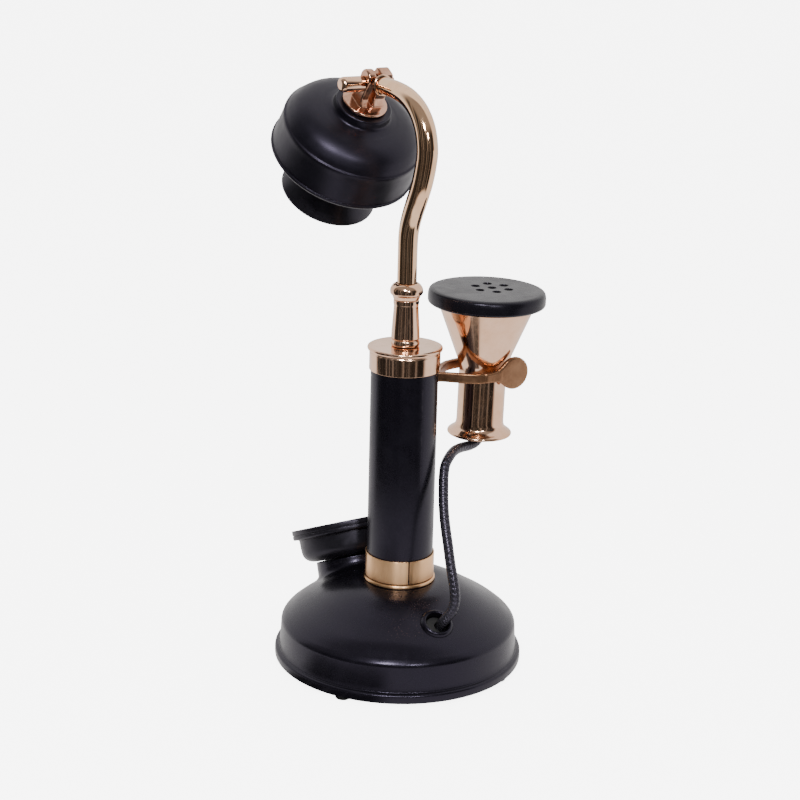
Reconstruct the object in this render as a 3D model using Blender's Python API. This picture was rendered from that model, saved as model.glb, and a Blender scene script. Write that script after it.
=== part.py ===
"""Candlestick rotary telephone: a dial on a round base, a column, a tilting transmitter and a lift-off receiver.

Lengths below are in millimetres and are scaled to metres when a mesh is made. +Z is up, the dial and the
mouthpiece face -Y, the receiver hangs on the -X side and the column stands on the Z axis.
"""

import math

import bmesh
import bpy
from mathutils import Matrix, Vector

MM = 0.001
GAP = 0.3

# Base
BASE_RADIUS = 75.0
PLATE_RADIUS = 62.0
PLATE_BOTTOM = 1.3
SCREW_CIRCLE = 58.0
SCREW_ANGLES = (75, 165, 255, 345)
FOOT_CIRCLE = 68.0
FOOT_ANGLES = (30, 120, 210, 300)
CORD_HOLE = Vector((5.3, 50.0, 41.2))
CORD_HOLE_AXIS = Vector((0.054, 0.512, 0.857)).normalized()
CORD_HOLE_RADIUS = 6.6
CORD_ENTRY = Vector((2.92, 51.19, 40.64))
CORD_RADIUS = 3.0

# Column and arm
COLUMN_RADIUS = 19.9
COLUMN_BORE = 17.6
COLUMN_BOTTOM = 54.5
COLUMN_TOP = 193.0
SLIT_ANGLE = 73.0
ARM_ROUTE = (
    (0, 232.0), (0, 236.0), (0, 245), (0, 254), (0.3, 262), (1.8, 269.3), (4.9, 277), (8.8, 285), (13, 294),
    (16.2, 304.5), (17.4, 314), (14.5, 325), (7.5, 334), (-3, 340), (-15.5, 342.9), (-29.0, 344.0),
)
ARM_RADII = (5.6, 5.7, 5.7, 5.7, 5.8, 5.9, 6.0, 6.1, 6.1, 6.1, 6.1, 6.0, 5.8, 5.5, 5.2, 4.9)

# Transmitter head: it tilts about the pivot and its axis points forward and down
HEAD_PIVOT = Vector((0, -42, 344))
HEAD_DROP = 55.4

# Receiver hook
HOOK_PIVOT = Vector((3, 0, 174))
FORK_BOTTOM = 172.4
FORK_TOP = 178.4

# Receiver: its axis leans slightly away from the column and toward the back
RECEIVER_ORIGIN = Vector((-56.2, 0, 178))
RECEIVER_LEAN = 0.6
RECEIVER_TIP = 1.0

# Dial: its face is tipped toward the user
DIAL_CENTRE = Vector((0, -61.5, 68.5))
DIAL_TIP = 24.0
FINGER_CIRCLE = 24.5
FINGER_HOLE = 5.8
FIRST_FINGER_ANGLE = 30

# Route of the receiver's cord, from under its plug to inside the base
CORD_ROUTE = (
    (-55.75, -0.74, 134.4), (-55.7, -0.7, 132.6), (-54.3, 0.1, 130.7), (-50.6, 1.4, 129.4), (-45.5, 3.2, 129.2),
    (-38, 6, 130.0), (-30, 10.5, 130.4), (-23.4, 15, 128.8), (-18.6, 18.2, 125.2), (-15.9, 21, 119.6),
    (-13.7, 24.4, 113.0), (-11.6, 28, 106.4), (-9.8, 32, 99.2), (-8.4, 36.2, 92.0), (-6.9, 41, 84.8),
    (-5.8, 45, 77.4), (-5.0, 49, 69.8), (-4.6, 52.4, 62.8), (-3.8, 54.6, 56.0), (-1.6, 55.6, 50.4),
    (0.9, 55.0, 47.0), (2.5, 53.4, 44.2), (2.92, 51.19, 40.64), (2.79, 49.9, 38.5), (2.65, 48.6, 36.35),
    (2.49, 47.1, 33.8),
)

MATERIALS = {
    "black_enamel": ((0.012, 0.012, 0.014), 0.0, 0.35),
    "black_plastic": ((0.015, 0.015, 0.017), 0.0, 0.42),
    "rose_brass": ((0.86, 0.52, 0.36), 1.0, 0.14),
    "dull_brass": ((0.5, 0.3, 0.17), 1.0, 0.38),
    "steel": ((0.55, 0.55, 0.56), 1.0, 0.3),
    "rubber": ((0.02, 0.02, 0.02), 0.0, 0.8),
    "ivory_plate": ((0.82, 0.78, 0.68), 0.0, 0.4),
    "board": ((0.05, 0.2, 0.09), 0.0, 0.5),
}


def clear_scene():
    for obj in list(bpy.data.objects):
        bpy.data.objects.remove(obj, do_unlink=True)


def make_material(node_name, finish):
    colour, metallic, roughness = MATERIALS[finish]
    material = bpy.data.materials.new(node_name + "_finish")
    material.use_nodes = True
    shader = material.node_tree.nodes["Principled BSDF"]
    shader.inputs["Base Color"].default_value = (*colour, 1.0)
    shader.inputs["Metallic"].default_value = metallic
    shader.inputs["Roughness"].default_value = roughness
    return material


def finish_mesh(name, mesh_data, frame, finish):
    """Turns a bmesh in millimetres into a named object in metres, with smooth round faces and sharp edges."""
    bmesh.ops.remove_doubles(mesh_data, verts=mesh_data.verts, dist=0.002)
    bmesh.ops.recalc_face_normals(mesh_data, faces=mesh_data.faces)
    bmesh.ops.transform(mesh_data, matrix=Matrix.Scale(MM, 4) @ frame, verts=mesh_data.verts)
    mesh = bpy.data.meshes.new(name)
    mesh_data.to_mesh(mesh)
    mesh_data.free()
    obj = bpy.data.objects.new(name, mesh)
    bpy.context.scene.collection.objects.link(obj)
    if finish:
        mesh.materials.append(make_material(name, finish))
    mesh.shade_smooth()
    mesh.set_sharp_from_angle(angle=math.radians(32))
    return obj


def along(origin, direction):
    """A frame at origin whose Z runs along direction."""
    turn = Vector((0, 0, 1)).rotation_difference(direction.normalized()).to_matrix().to_4x4()
    return Matrix.Translation(origin) @ turn


def revolve(name, profile, finish, frame=Matrix(), steps=32):
    """Turns a closed (radius, height) outline about the frame's Z axis."""
    mesh_data = bmesh.new()
    points = [mesh_data.verts.new((radius, 0, height)) for radius, height in profile]
    pairs = list(zip(points, points[1:] + points[:1]))
    if profile[0][0] == 0 and profile[-1][0] == 0:
        pairs.pop()
    edges = [mesh_data.edges.new(pair) for pair in pairs]
    bmesh.ops.spin(
        mesh_data, geom=points + edges, cent=(0, 0, 0), axis=(0, 0, 1), angle=math.tau, steps=steps, use_merge=True
    )
    return finish_mesh(name, mesh_data, frame, finish)


def tube(radius, inner, bottom, top):
    return ((inner, bottom), (radius, bottom), (radius, top), (inner, top))


def rod(radius, bottom, top):
    return ((0, bottom), (radius, bottom), (radius, top), (0, top))


def prism(name, outline, bottom, top, finish, frame=Matrix()):
    """Extrudes a flat (x, y) outline from bottom to top along the frame's Z."""
    mesh_data = bmesh.new()
    face = mesh_data.faces.new([mesh_data.verts.new((x, y, bottom)) for x, y in outline])
    raised = bmesh.ops.extrude_face_region(mesh_data, geom=[face])
    moved = [item for item in raised["geom"] if isinstance(item, bmesh.types.BMVert)]
    bmesh.ops.translate(mesh_data, verts=moved, vec=(0, 0, top - bottom))
    return finish_mesh(name, mesh_data, frame, finish)


def block(name, low, high, finish, frame=Matrix()):
    outline = ((low[0], low[1]), (high[0], low[1]), (high[0], high[1]), (low[0], high[1]))
    return prism(name, outline, low[2], high[2], finish, frame)


def hex_nut(name, corner_radius, bore, bottom, top):
    corners = [(corner_radius * math.cos(step * math.pi / 3), corner_radius * math.sin(step * math.pi / 3))
               for step in range(6)]
    nut = prism(name, corners, bottom, top, "steel")
    return cut(nut, revolve("tool_" + name, rod(bore, bottom - 2, top + 2), None, steps=28))


def combine(obj, other, operation):
    """Joins or cuts obj with another mesh, which stays in the file as a hidden tool."""
    other.hide_render = True
    other.display_type = "WIRE"
    modifier = obj.modifiers.new(operation.title(), "BOOLEAN")
    modifier.operation = operation
    modifier.solver = "EXACT"
    modifier.object = other
    return obj


def cut(obj, other):
    return combine(obj, other, "DIFFERENCE")


def join(obj, other):
    return combine(obj, other, "UNION")


def smooth_route(points, spacing):
    """Points spaced evenly along a smooth curve through the route points."""
    points = [Vector(point) for point in points]
    padded = [2 * points[0] - points[1]] + points + [2 * points[-1] - points[-2]]
    dense = []
    for before, start, end, after in zip(padded, padded[1:], padded[2:], padded[3:]):
        for step in range(12):
            t = step / 12
            dense.append(
                0.5 * (2 * start + (end - before) * t + (2 * before - 5 * start + 4 * end - after) * t * t
                       + (3 * start - before - 3 * end + after) * t ** 3)
            )
    dense.append(points[-1])
    total = sum((b - a).length for a, b in zip(dense, dense[1:]))
    count = max(2, round(total / spacing))
    result = [dense[0]]
    travelled = 0.0
    for a, b in zip(dense, dense[1:]):
        length = (b - a).length
        while len(result) < count and travelled + length >= len(result) * total / count:
            part = (len(result) * total / count - travelled) / length
            result.append(a.lerp(b, part))
        travelled += length
    result.append(dense[-1])
    return result


# ---- Base -------------------------------------------------------------------------------------------


def dial_frame():
    return Matrix.Translation(DIAL_CENTRE) @ Matrix.Rotation(math.radians(DIAL_TIP), 4, "X")


def build_base_shell():
    outside = (
        (73.0, 3.1), (74.3, 3.7), (75.0, 5.2), (75.0, 6.8), (74.2, 8.2), (72.6, 9.2), (72.0, 10.6), (71.6, 18.0),
        (71.0, 24.4), (70.4, 26.2), (69.3, 27.7), (67.4, 29.5), (64.4, 32.0), (61.0, 34.5), (57.0, 37.0),
        (52.0, 40.0), (46.0, 43.6), (40.0, 46.9), (34.0, 49.6), (28.0, 51.3), (24.0, 51.9), (21.0, 52.0),
    )
    inside = (
        (14.7, 52.0), (14.7, 48.7), (28.0, 48.0), (40.0, 43.6), (52.0, 36.7), (61.0, 31.2), (66.3, 26.4),
        (68.2, 22.0), (68.8, 10.0), (68.2, 6.4), (66.5, 5.7), (54.0, 5.7), (54.0, 3.1),
    )
    shell = revolve("base_shell", outside + inside, "black_enamel", steps=40)
    neck = ((0, -36.0), (25.2, -36.0), (24.7, -29.0), (24.4, -22.6), (0, -22.6))
    join(shell, revolve("tool_neck", neck, None, dial_frame(), 28))
    cord_frame = along(CORD_HOLE, CORD_HOLE_AXIS)
    lip = ((0, -2.0), (9.6, -2.0), (9.4, -0.4), (8.8, 1.1), (7.8, 1.9), (0, 1.9))
    join(shell, revolve("tool_cord_lip", lip, None, cord_frame, 20))
    cut(shell, revolve("tool_cord_hole", rod(CORD_HOLE_RADIUS, -9, 6), None, cord_frame, 20))
    bore = ((0, -52.0), (14.0, -52.0), (14.0, -31.4), (19.4, -31.4), (19.4, -10.0), (0, -10.0))
    cut(shell, revolve("tool_dial_bore", bore, None, dial_frame(), 28))
    for number, angle in enumerate(SCREW_ANGLES, 1):
        cut(shell, revolve(f"tool_flange_hole_{number}", rod(1.8, 2, 7), None, at_angle(SCREW_CIRCLE, angle), 12))
    return shell


def at_angle(radius, degrees, height=0):
    angle = math.radians(degrees)
    return Matrix.Translation((radius * math.cos(angle), radius * math.sin(angle), height))


def build_base_fittings():
    plate = revolve("base_plate", rod(PLATE_RADIUS, PLATE_BOTTOM, 2.8), "steel", steps=36)
    for number, angle in enumerate(SCREW_ANGLES, 1):
        seat = ((0, 1.0), (3.3, 1.0), (3.3, 1.5), (1.8, 2.9), (1.8, 3.5), (0, 3.5))
        cut(plate, revolve(f"tool_plate_hole_{number}", seat, None, at_angle(SCREW_CIRCLE, angle), 14))
        screw = ((0, 1.45), (2.9, 1.45), (2.9, 1.6), (1.45, 3.0), (1.45, 8.4), (0, 8.4))
        revolve(f"base_screw_{number}", screw, "steel", at_angle(SCREW_CIRCLE, angle), 14)
    for number, angle in enumerate(FOOT_ANGLES, 1):
        foot = ((0, 0), (4.0, 0), (4.6, 0.6), (4.6, 2.8), (0, 2.8))
        revolve(f"foot_{number}", foot, "rubber", at_angle(FOOT_CIRCLE, angle), 16)
    bush = ((0, -5.0), (6.3, -5.0), (6.3, -2.4), (5.9, -2.0), (0, -2.0))
    cord_bush = revolve("cord_bush", bush, "rubber", along(CORD_HOLE, CORD_HOLE_AXIS), 20)
    cut(cord_bush, revolve("tool_bush_bore", rod(3.6, -8, 2), None, along(CORD_ENTRY, CORD_HOLE_AXIS), 20))
    build_ringer_board()


def build_ringer_board():
    board_low = 14.0
    block("ringer_board", (-26, 4, board_low), (26, 34, board_low + 1.6), "board")
    for number, (x, y) in enumerate(((-22, 19), (22, 19)), 1):
        revolve(f"board_pillar_{number}", rod(2.4, 3.1, board_low - GAP), "steel",
                Matrix.Translation((x, y, 0)), 12)
    sounder = ((0, 15.9), (11, 15.9), (11, 22.5), (10, 23.5), (0, 23.5))
    revolve("ringer_sounder", sounder, "black_plastic", Matrix.Translation((-6, 19, 0)), 20)


# ---- Column and arm ---------------------------------------------------------------------------------


def build_column():
    seat = ((18.0, 52.3), (21.3, 52.3), (21.6, 52.8), (21.6, 53.6), (21.3, 54.2), (18.0, 54.2))
    revolve("seat_ring", seat, "rose_brass", steps=36)
    column = revolve("column_tube", tube(COLUMN_RADIUS, COLUMN_BORE, COLUMN_BOTTOM, COLUMN_TOP), "black_enamel",
                     steps=36)
    cut(column, block("tool_fork_slot", (-24, -3.7, 171.6), (-12, 3.7, 182.4), None))
    ring = revolve("column_ring", tube(20.8, 20.2, 55.0, 69.2), "rose_brass", steps=36)
    slit = Matrix.Rotation(math.radians(SLIT_ANGLE), 4, "Z")
    cut(ring, block("tool_ring_slit", (15, -0.4, 50), (25, 0.4, 75), None, slit))
    bush = ((9.0, 44.0), (14.3, 44.0), (14.3, 52.2), (17.2, 54.6), (17.2, 66.0), (9.0, 66.0))
    revolve("column_bush", bush, "steel")
    hex_nut("bush_nut", 21.0, 14.7, 43.4, 47.6)
    cap = (
        (20.2, 183.0), (20.9, 183.0), (20.9, 193.4), (20.5, 194.0), (20.5, 194.5), (21.6, 194.8), (22.2, 195.6),
        (22.1, 196.6), (21.5, 197.0), (5.5, 197.0), (5.5, 193.8), (20.2, 193.8),
    )
    revolve("column_cap", cap, "rose_brass", steps=36)


def build_post():
    post = (
        (0, 185.0), (5.1, 185.0), (5.1, 197.3), (8.2, 197.3), (8.5, 198.4), (8.2, 200.6), (8.0, 201.0),
        (8.4, 201.6), (8.2, 206.0), (7.2, 221.6), (7.4, 222.2), (7.5, 224.2), (7.2, 224.6), (0, 224.6),
    )
    revolve("post", post, "rose_brass", steps=28)
    hex_nut("post_nut", 9.5, 5.5, 188.5, 193.4)
    collar = (
        (0, 224.9), (7.6, 224.9), (8.4, 226.9), (9.3, 228.2), (9.65, 229.9), (9.4, 231.5), (8.4, 233.2),
        (7.0, 234.3), (6.1, 234.5), (6.1, 230.8), (0, 230.8),
    )
    revolve("arm_collar", collar, "rose_brass", steps=28)


def build_arm():
    centres = [Vector((0, y, z)) for y, z in ARM_ROUTE]
    mesh_data = bmesh.new()
    sides = 18
    rings = []
    for wall in (0.0, 1.3):
        rows = []
        for index, (centre, radius) in enumerate(zip(centres, ARM_RADII)):
            ahead = centres[min(index + 1, len(centres) - 1)] - centres[max(index - 1, 0)]
            up = Vector((1, 0, 0)).cross(ahead.normalized())
            row = []
            for side in range(sides):
                angle = math.tau * side / sides
                offset = Vector((1, 0, 0)) * math.cos(angle) + up * math.sin(angle)
                row.append(mesh_data.verts.new(centre + offset * (radius - wall)))
            rows.append(row)
        rings.append(rows)
    for rows in rings:
        for low, high in zip(rows, rows[1:]):
            bridge_rows(mesh_data, low, high)
    for end in (0, -1):
        bridge_rows(mesh_data, rings[0][end], rings[1][end])
    finish_mesh("gooseneck", mesh_data, Matrix(), "rose_brass")
    facing = along(HEAD_PIVOT, Vector((0, 1, 0)))
    ring = ((0, 10.5), (5.6, 10.5), (6.3, 11.0), (6.3, 11.8), (5.6, 12.2), (0, 12.2))
    knuckle = revolve("arm_knuckle", ring, "rose_brass", facing, 20)
    join(knuckle, block("tool_tongue", (-1.3, -42, 339.2), (1.3, -30.6, 348.6), None))
    join(knuckle, revolve("tool_eye", rod(5.4, -1.3, 1.3), None, along(HEAD_PIVOT, Vector((1, 0, 0))), 20))
    cut(knuckle, revolve("tool_eye_bore", rod(2.6, -6, 6), None, along(HEAD_PIVOT, Vector((1, 0, 0))), 16))


def bridge_rows(mesh_data, low, high):
    for index in range(len(low)):
        after = (index + 1) % len(low)
        mesh_data.faces.new((low[index], low[after], high[after], high[index]))


# ---- Transmitter head -------------------------------------------------------------------------------


def head_direction():
    drop = math.radians(HEAD_DROP)
    return Vector((0, -math.cos(drop), -math.sin(drop)))


def head_frame():
    """At the pivot, X across and Z along the head's axis."""
    forward = head_direction()
    across = Vector((1, 0, 0))
    columns = (across, forward.cross(across), forward)
    turn = Matrix([[columns[c][r] for c in range(3)] for r in range(3)]).to_4x4()
    return Matrix.Translation(HEAD_PIVOT) @ turn


def ear_outline(top):
    """An ear seen from its side: its top behind the pivot and a slightly waisted foot on the disc."""
    foot = ((-2, 5.0), (-8, 4.8), (-11.5, 5.6), (-13.6, 6.4), (-13.6, -6.4), (-11.5, -5.6), (-8, -4.8), (-2, -5.0))
    return tuple(top) + foot


def build_head():
    frame = head_frame()
    disc = ((0, 13.3), (12.9, 13.3), (13.7, 13.9), (13.7, 14.8), (13.0, 15.3), (0, 15.3))
    bracket = revolve("head_bracket", disc, "rose_brass", frame, 28)
    side = frame @ Matrix.Rotation(math.radians(90), 4, "Y")
    angles = [math.radians(step) for step in range(-90, 91, 15)]
    round_top = [(4.0 + 5.4 * math.cos(angle), 5.4 * math.sin(angle)) for angle in angles]
    square_top = ((5.4, -5.2), (7.4, -4.8), (8.7, -3.5), (9.0, -2.0), (9.0, 2.0), (8.7, 3.5), (7.4, 4.8), (5.4, 5.2))
    join(bracket, prism("tool_ear_1", ear_outline(round_top), 1.6, 6.8, None, side))
    join(bracket, prism("tool_ear_2", ear_outline(square_top), -9.4, -1.6, None, side))
    across = along(HEAD_PIVOT, Vector((1, 0, 0)))
    cut(bracket, revolve("tool_bracket_bore", rod(2.6, -12, 12), None, across, 16))
    bolt = (
        (0, -13.2), (3.6, -13.2), (4.4, -12.4), (4.4, -9.7), (2.2, -9.7), (2.2, 17.0), (0, 17.0),
    )
    revolve("pivot_bolt", bolt, "rose_brass", across, 16)
    nut = ((2.5, 7.1), (4.5, 7.1), (4.5, 20.6), (3.6, 21.8), (0, 22.0), (0, 17.4), (2.5, 17.4))
    revolve("thumb_nut", nut, "rose_brass", across, 16)
    outside = (
        (16.2, 15.7), (17.0, 16.3), (17.4, 17.6), (17.7, 19.2), (18.8, 20.1), (25.0, 21.2), (30.0, 22.8),
        (34.0, 25.0), (37.4, 27.9), (40.4, 31.7), (42.4, 35.6), (42.9, 37.4), (43.1, 44.0), (43.6, 51.0),
        (44.0, 55.6), (44.7, 56.0), (44.8, 57.6), (44.1, 58.4),
    )
    inside = (
        (41.2, 58.4), (41.0, 44.0), (40.6, 39.0), (38.6, 34.4), (35.6, 30.4), (31.0, 26.8), (25.0, 24.2),
        (18.0, 22.6), (14.0, 19.8), (4.0, 19.6), (4.0, 15.7),
    )
    revolve("head_shell", outside + inside, "black_enamel", frame, 28)
    plate = ((14.4, 57.0), (40.8, 57.0), (40.8, 58.9), (36.0, 60.2), (24.0, 61.6), (14.4, 62.0))
    revolve("face_plate", plate, "black_plastic", frame, 28)
    mouth = (
        (10.2, 57.6), (14.0, 57.6), (14.0, 63.0), (15.2, 66.0), (18.6, 71.0), (23.2, 77.0), (27.4, 82.6),
        (29.2, 85.0), (29.6, 86.4), (28.8, 87.3), (27.4, 86.6), (24.8, 82.6), (20.6, 76.6), (16.0, 70.4),
        (12.6, 65.6), (11.0, 62.4),
    )
    revolve("mouthpiece", mouth, "black_plastic", frame, 28)
    grille = revolve("mouth_grille", rod(9.8, 60.4, 61.8), "rose_brass", frame, 20)
    for number, (radius, angle) in enumerate([(0, 0)] + [(5.6, 60 * step) for step in range(6)], 1):
        place = frame @ at_angle(radius, angle)
        cut(grille, revolve(f"tool_grille_hole_{number}", rod(1.2, 59, 63), None, place, 10))
    capsule = ((0, 40.0), (20.0, 40.0), (22.0, 41.5), (22.0, 51.0), (20.0, 52.5), (9.8, 56.8), (0, 56.8))
    revolve("transmitter_capsule", capsule, "steel", frame, 28)
    revolve("capsule_bridge", ((0, 22.4), (5.0, 22.4), (5.0, 39.6), (0, 39.6)), "steel", frame, 16)


# ---- Receiver hook ----------------------------------------------------------------------------------


def fork_outline():
    """The fork from above: the stem, the outer edge of one prong, its inner edge and the same mirrored."""
    outer = ((6.4, 2.9), (-22.0, 2.9), (-25.5, 4.6), (-30.5, 10.2), (-36.0, 15.6), (-42.0, 18.3), (-48.0, 18.9),
             (-60.0, 18.9))
    inner = ((-60.0, 15.6), (-49.0, 15.5), (-43.5, 14.9), (-38.5, 12.6), (-33.4, 7.4), (-29.6, 2.6), (-28.6, 0.0))
    half = outer + inner
    return half + tuple((x, -y) for x, y in reversed(half[:-1]))


def build_hook():
    fork = prism("hook_fork", fork_outline(), FORK_BOTTOM, FORK_TOP, "dull_brass")
    for name, side in (("near", 1), ("far", -1)):
        facing = along(Vector((-66.0, side * 18.2, 176.2)), Vector((0, 1, 0)))
        paddle = ((0, -1.5), (9.0, -1.5), (9.9, -0.7), (9.9, 0.7), (9.0, 1.5), (0, 1.5))
        join(fork, revolve(f"tool_paddle_{name}", paddle, None, facing, 20))
    pin_axis = along(HOOK_PIVOT, Vector((0, 1, 0)))
    join(fork, revolve("tool_hook_hub", rod(4.6, -2.8, 2.8), None, pin_axis, 16))
    join(fork, block("tool_hook_tail", (1.2, -2.7, 150.0), (4.4, 2.7, 171.0), None))
    cut(fork, revolve("tool_hook_bore", rod(1.8, -5, 5), None, pin_axis, 14))
    revolve("hook_pin", rod(1.5, -8.2, 8.2), "steel", pin_axis, 14)
    bracket = block("hook_bracket", (13.6, -5.2, 145.0), (16.4, 5.2, 182.0), "steel")
    cheeks = block("tool_cheeks", (-2.0, -6.6, 168.0), (14.2, 6.6, 181.0), None)
    cut(cheeks, block("tool_cheek_room", (-4.0, -4.6, 166.0), (12.8, 4.6, 183.0), None))
    join(bracket, cheeks)
    cut(bracket, revolve("tool_cheek_bore", rod(1.8, -9, 9), None, pin_axis, 14))
    stack = block("switch_contacts", (4.8, -2.8, 147.0), (13.2, 2.8, 163.0), "black_plastic")
    for number, x in enumerate((6.0, 8.4, 10.8), 1):
        cut(stack, block(f"tool_contact_gap_{number}", (x, -4, 151.0), (x + 1.2, 4, 166.0), None))


# ---- Receiver ---------------------------------------------------------------------------------------


def receiver_frame():
    lean = Matrix.Rotation(math.radians(-RECEIVER_LEAN), 4, "Y")
    return Matrix.Translation(RECEIVER_ORIGIN) @ Matrix.Rotation(math.radians(-RECEIVER_TIP), 4, "X") @ lean


def build_receiver():
    frame = receiver_frame()
    bell = (
        (18.3, -43.0), (19.3, -42.7), (19.5, -42.0), (19.2, -41.2), (17.0, -39.3), (15.1, -37.3), (14.3, -34.8),
        (14.3, 0.6), (15.2, 2.8), (18.0, 10.6), (21.6, 20.0), (25.6, 30.0), (28.8, 37.6), (28.8, 38.3),
        (27.6, 38.3), (24.4, 30.0), (20.4, 20.0), (16.8, 10.6), (14.2, 3.4), (13.0, 0.8), (13.0, -35.0),
        (13.4, -37.4), (15.2, -39.6), (16.4, -41.8),
    )
    revolve("receiver_bell", bell, "rose_brass", frame, 28)
    plug = ((0, -42.4), (15.6, -42.4), (14.6, -39.9), (12.7, -37.6), (12.7, -33.0), (0, -33.0))
    revolve("receiver_plug", plug, "black_plastic", frame, 28)
    cap = (
        (0, 43.4), (27.0, 43.4), (27.0, 38.6), (29.4, 38.6), (29.4, 37.8), (33.4, 37.8), (34.8, 38.6),
        (35.3, 40.2), (35.3, 43.6), (34.9, 45.4), (33.8, 46.5), (31.8, 47.0), (28.0, 47.1), (0, 46.9),
    )
    ear_cap = revolve("ear_cap", cap, "black_plastic", frame, 28)
    places = [Vector((-4.4, -1.5, 0))]
    for step in range(6):
        angle = math.radians(191 + 60 * step)
        places.append(places[0] + Vector((10.2 * math.cos(angle), 10.2 * math.sin(angle), 0)))
    for number, place in enumerate(places, 1):
        hole = revolve(f"tool_ear_hole_{number}", rod(2.5, 42, 49), None, frame @ Matrix.Translation(place), 12)
        cut(ear_cap, hole)
    revolve("receiver_diaphragm", rod(26.6, 41.9, 42.4), "steel", frame, 28)
    magnet = ((0, 4.0), (9.0, 4.0), (12.0, 12.0), (16.0, 26.0), (16.0, 40.8), (9.0, 41.5), (0, 41.5))
    revolve("receiver_magnet", magnet, "steel", frame, 20)
    revolve("receiver_stem", ((0, -28.0), (6.0, -28.0), (6.0, 3.7), (0, 3.7)), "steel", frame, 14)


def build_cord():
    spine = bpy.data.curves.new("receiver_cord", "CURVE")
    spine.dimensions = "3D"
    spine.bevel_depth = CORD_RADIUS * MM
    spine.bevel_resolution = 2
    spine.use_fill_caps = True
    route = smooth_route(CORD_ROUTE, 4.0)
    strand = spine.splines.new("POLY")
    strand.points.add(len(route) - 1)
    for point, place in zip(strand.points, route):
        point.co = (*(place * MM), 1.0)
    spine.materials.append(make_material("receiver_cord", "rubber"))
    cord = bpy.data.objects.new("receiver_cord", spine)
    bpy.context.scene.collection.objects.link(cord)


# ---- Dial -------------------------------------------------------------------------------------------


def build_dial():
    frame = dial_frame()
    housing = (
        (18.9, -31.0), (18.9, -22.2), (24.0, -22.2), (28.5, -21.0), (31.2, -18.8), (32.3, -15.6), (32.5, -7.2),
        (35.4, -6.9), (36.0, -6.2), (36.0, -4.4), (35.6, -4.1), (35.6, -3.7), (36.0, -3.4), (36.0, -1.2),
        (35.4, -0.6), (34.3, -0.6), (34.3, -5.8), (30.6, -5.8), (30.6, -14.6), (28.6, -17.4), (24.0, -19.0),
        (16.0, -19.4), (16.0, -31.0),
    )
    rim = revolve("dial_housing", housing, "black_plastic", frame, 28)
    revolve("number_plate", tube(33.9, 4.0, -5.4, -4.2), "ivory_plate", frame, 32)
    wheel = revolve("finger_wheel", tube(33.8, 2.0, -3.2, -1.7), "rose_brass", frame, 28)
    for digit in range(10):
        place = frame @ at_angle(FINGER_CIRCLE, FIRST_FINGER_ANGLE + 30 * digit)
        cut(wheel, revolve(f"tool_finger_hole_{digit + 1}", rod(FINGER_HOLE, -6, 2), None, place, 16))
    centre = ((0, -1.4), (12.4, -1.4), (12.4, -1.1), (11.4, -0.75), (0, -0.6))
    revolve("dial_centre", centre, "rose_brass", frame, 20)
    shaft = ((0, -20.0), (3.0, -20.0), (3.0, -3.6), (1.7, -3.6), (1.7, -1.7), (0, -1.7))
    revolve("dial_shaft", shaft, "steel", frame, 14)
    revolve("dial_gear", tube(13.0, 3.3, -11.6, -9.4), "dull_brass", frame, 28)
    revolve("dial_bearing", tube(7.0, 3.3, -15.5, -11.9), "steel", frame, 16)
    spider = block("dial_frame", (-27.5, -5, -16.9), (27.5, 5, -15.8), "steel", frame)
    cut(spider, revolve("tool_frame_bore", rod(3.4, -20, -10), None, frame, 16))
    governor = ((0, -15.5), (4.4, -15.5), (4.4, -8.2), (1.4, -8.2), (1.4, -6.6), (0, -6.6))
    revolve("dial_governor", governor, "steel", frame @ Matrix.Translation((20.0, 0, 0)), 14)
    turn = frame @ Matrix.Rotation(math.radians(FIRST_FINGER_ANGLE - 60), 4, "Z")
    cut(rim, block("tool_stop_notch", (33.0, -3.0, -1.7), (38.0, 3.0, 1.0), None, turn))
    stop = ((35.9, -2.6), (35.9, 2.6), (33.2, 2.6), (24.0, 1.2), (17.6, 0.8), (17.6, -0.8), (24.0, -1.2),
            (33.2, -2.6))
    prism("finger_stop", stop, -1.4, -0.6, "steel", turn)


# ---- Moving bodies ----------------------------------------------------------------------------------

HEAD_NODES = (
    "head_bracket", "pivot_bolt", "thumb_nut", "head_shell", "face_plate", "mouthpiece", "mouth_grille",
    "transmitter_capsule", "capsule_bridge",
)
RECEIVER_NODES = (
    "receiver_bell", "receiver_plug", "ear_cap", "receiver_diaphragm", "receiver_magnet", "receiver_stem",
)
DIAL_NODES = ("finger_wheel", "dial_centre", "dial_shaft", "dial_gear")


def hang_from(name, place, nodes):
    """Parents a moving body's nodes to an empty on its joint."""
    empty = bpy.data.objects.new(name, None)
    empty.location = place * MM
    bpy.context.scene.collection.objects.link(empty)
    bpy.context.view_layer.update()
    for node in nodes:
        obj = bpy.data.objects[node]
        obj.parent = empty
        obj.matrix_parent_inverse = empty.matrix_world.inverted()


def main():
    clear_scene()
    build_base_shell()
    build_base_fittings()
    build_column()
    build_post()
    build_arm()
    build_head()
    build_hook()
    build_receiver()
    build_cord()
    build_dial()
    hang_from("head_axis", HEAD_PIVOT, HEAD_NODES)
    hang_from("hook_axis", HOOK_PIVOT, ("hook_fork",))
    hang_from("receiver_axis", RECEIVER_ORIGIN, RECEIVER_NODES)
    hang_from("dial_axis", DIAL_CENTRE, DIAL_NODES)


main()
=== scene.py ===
"""Looks of the candlestick rotary telephone: enamel, polished brass, ebonite and a braided cord."""

import logging
import math
from dataclasses import dataclass, field
from enum import Enum
from typing import Callable, Iterable, Sequence

import bpy
from mathutils import Matrix, Vector


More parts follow.
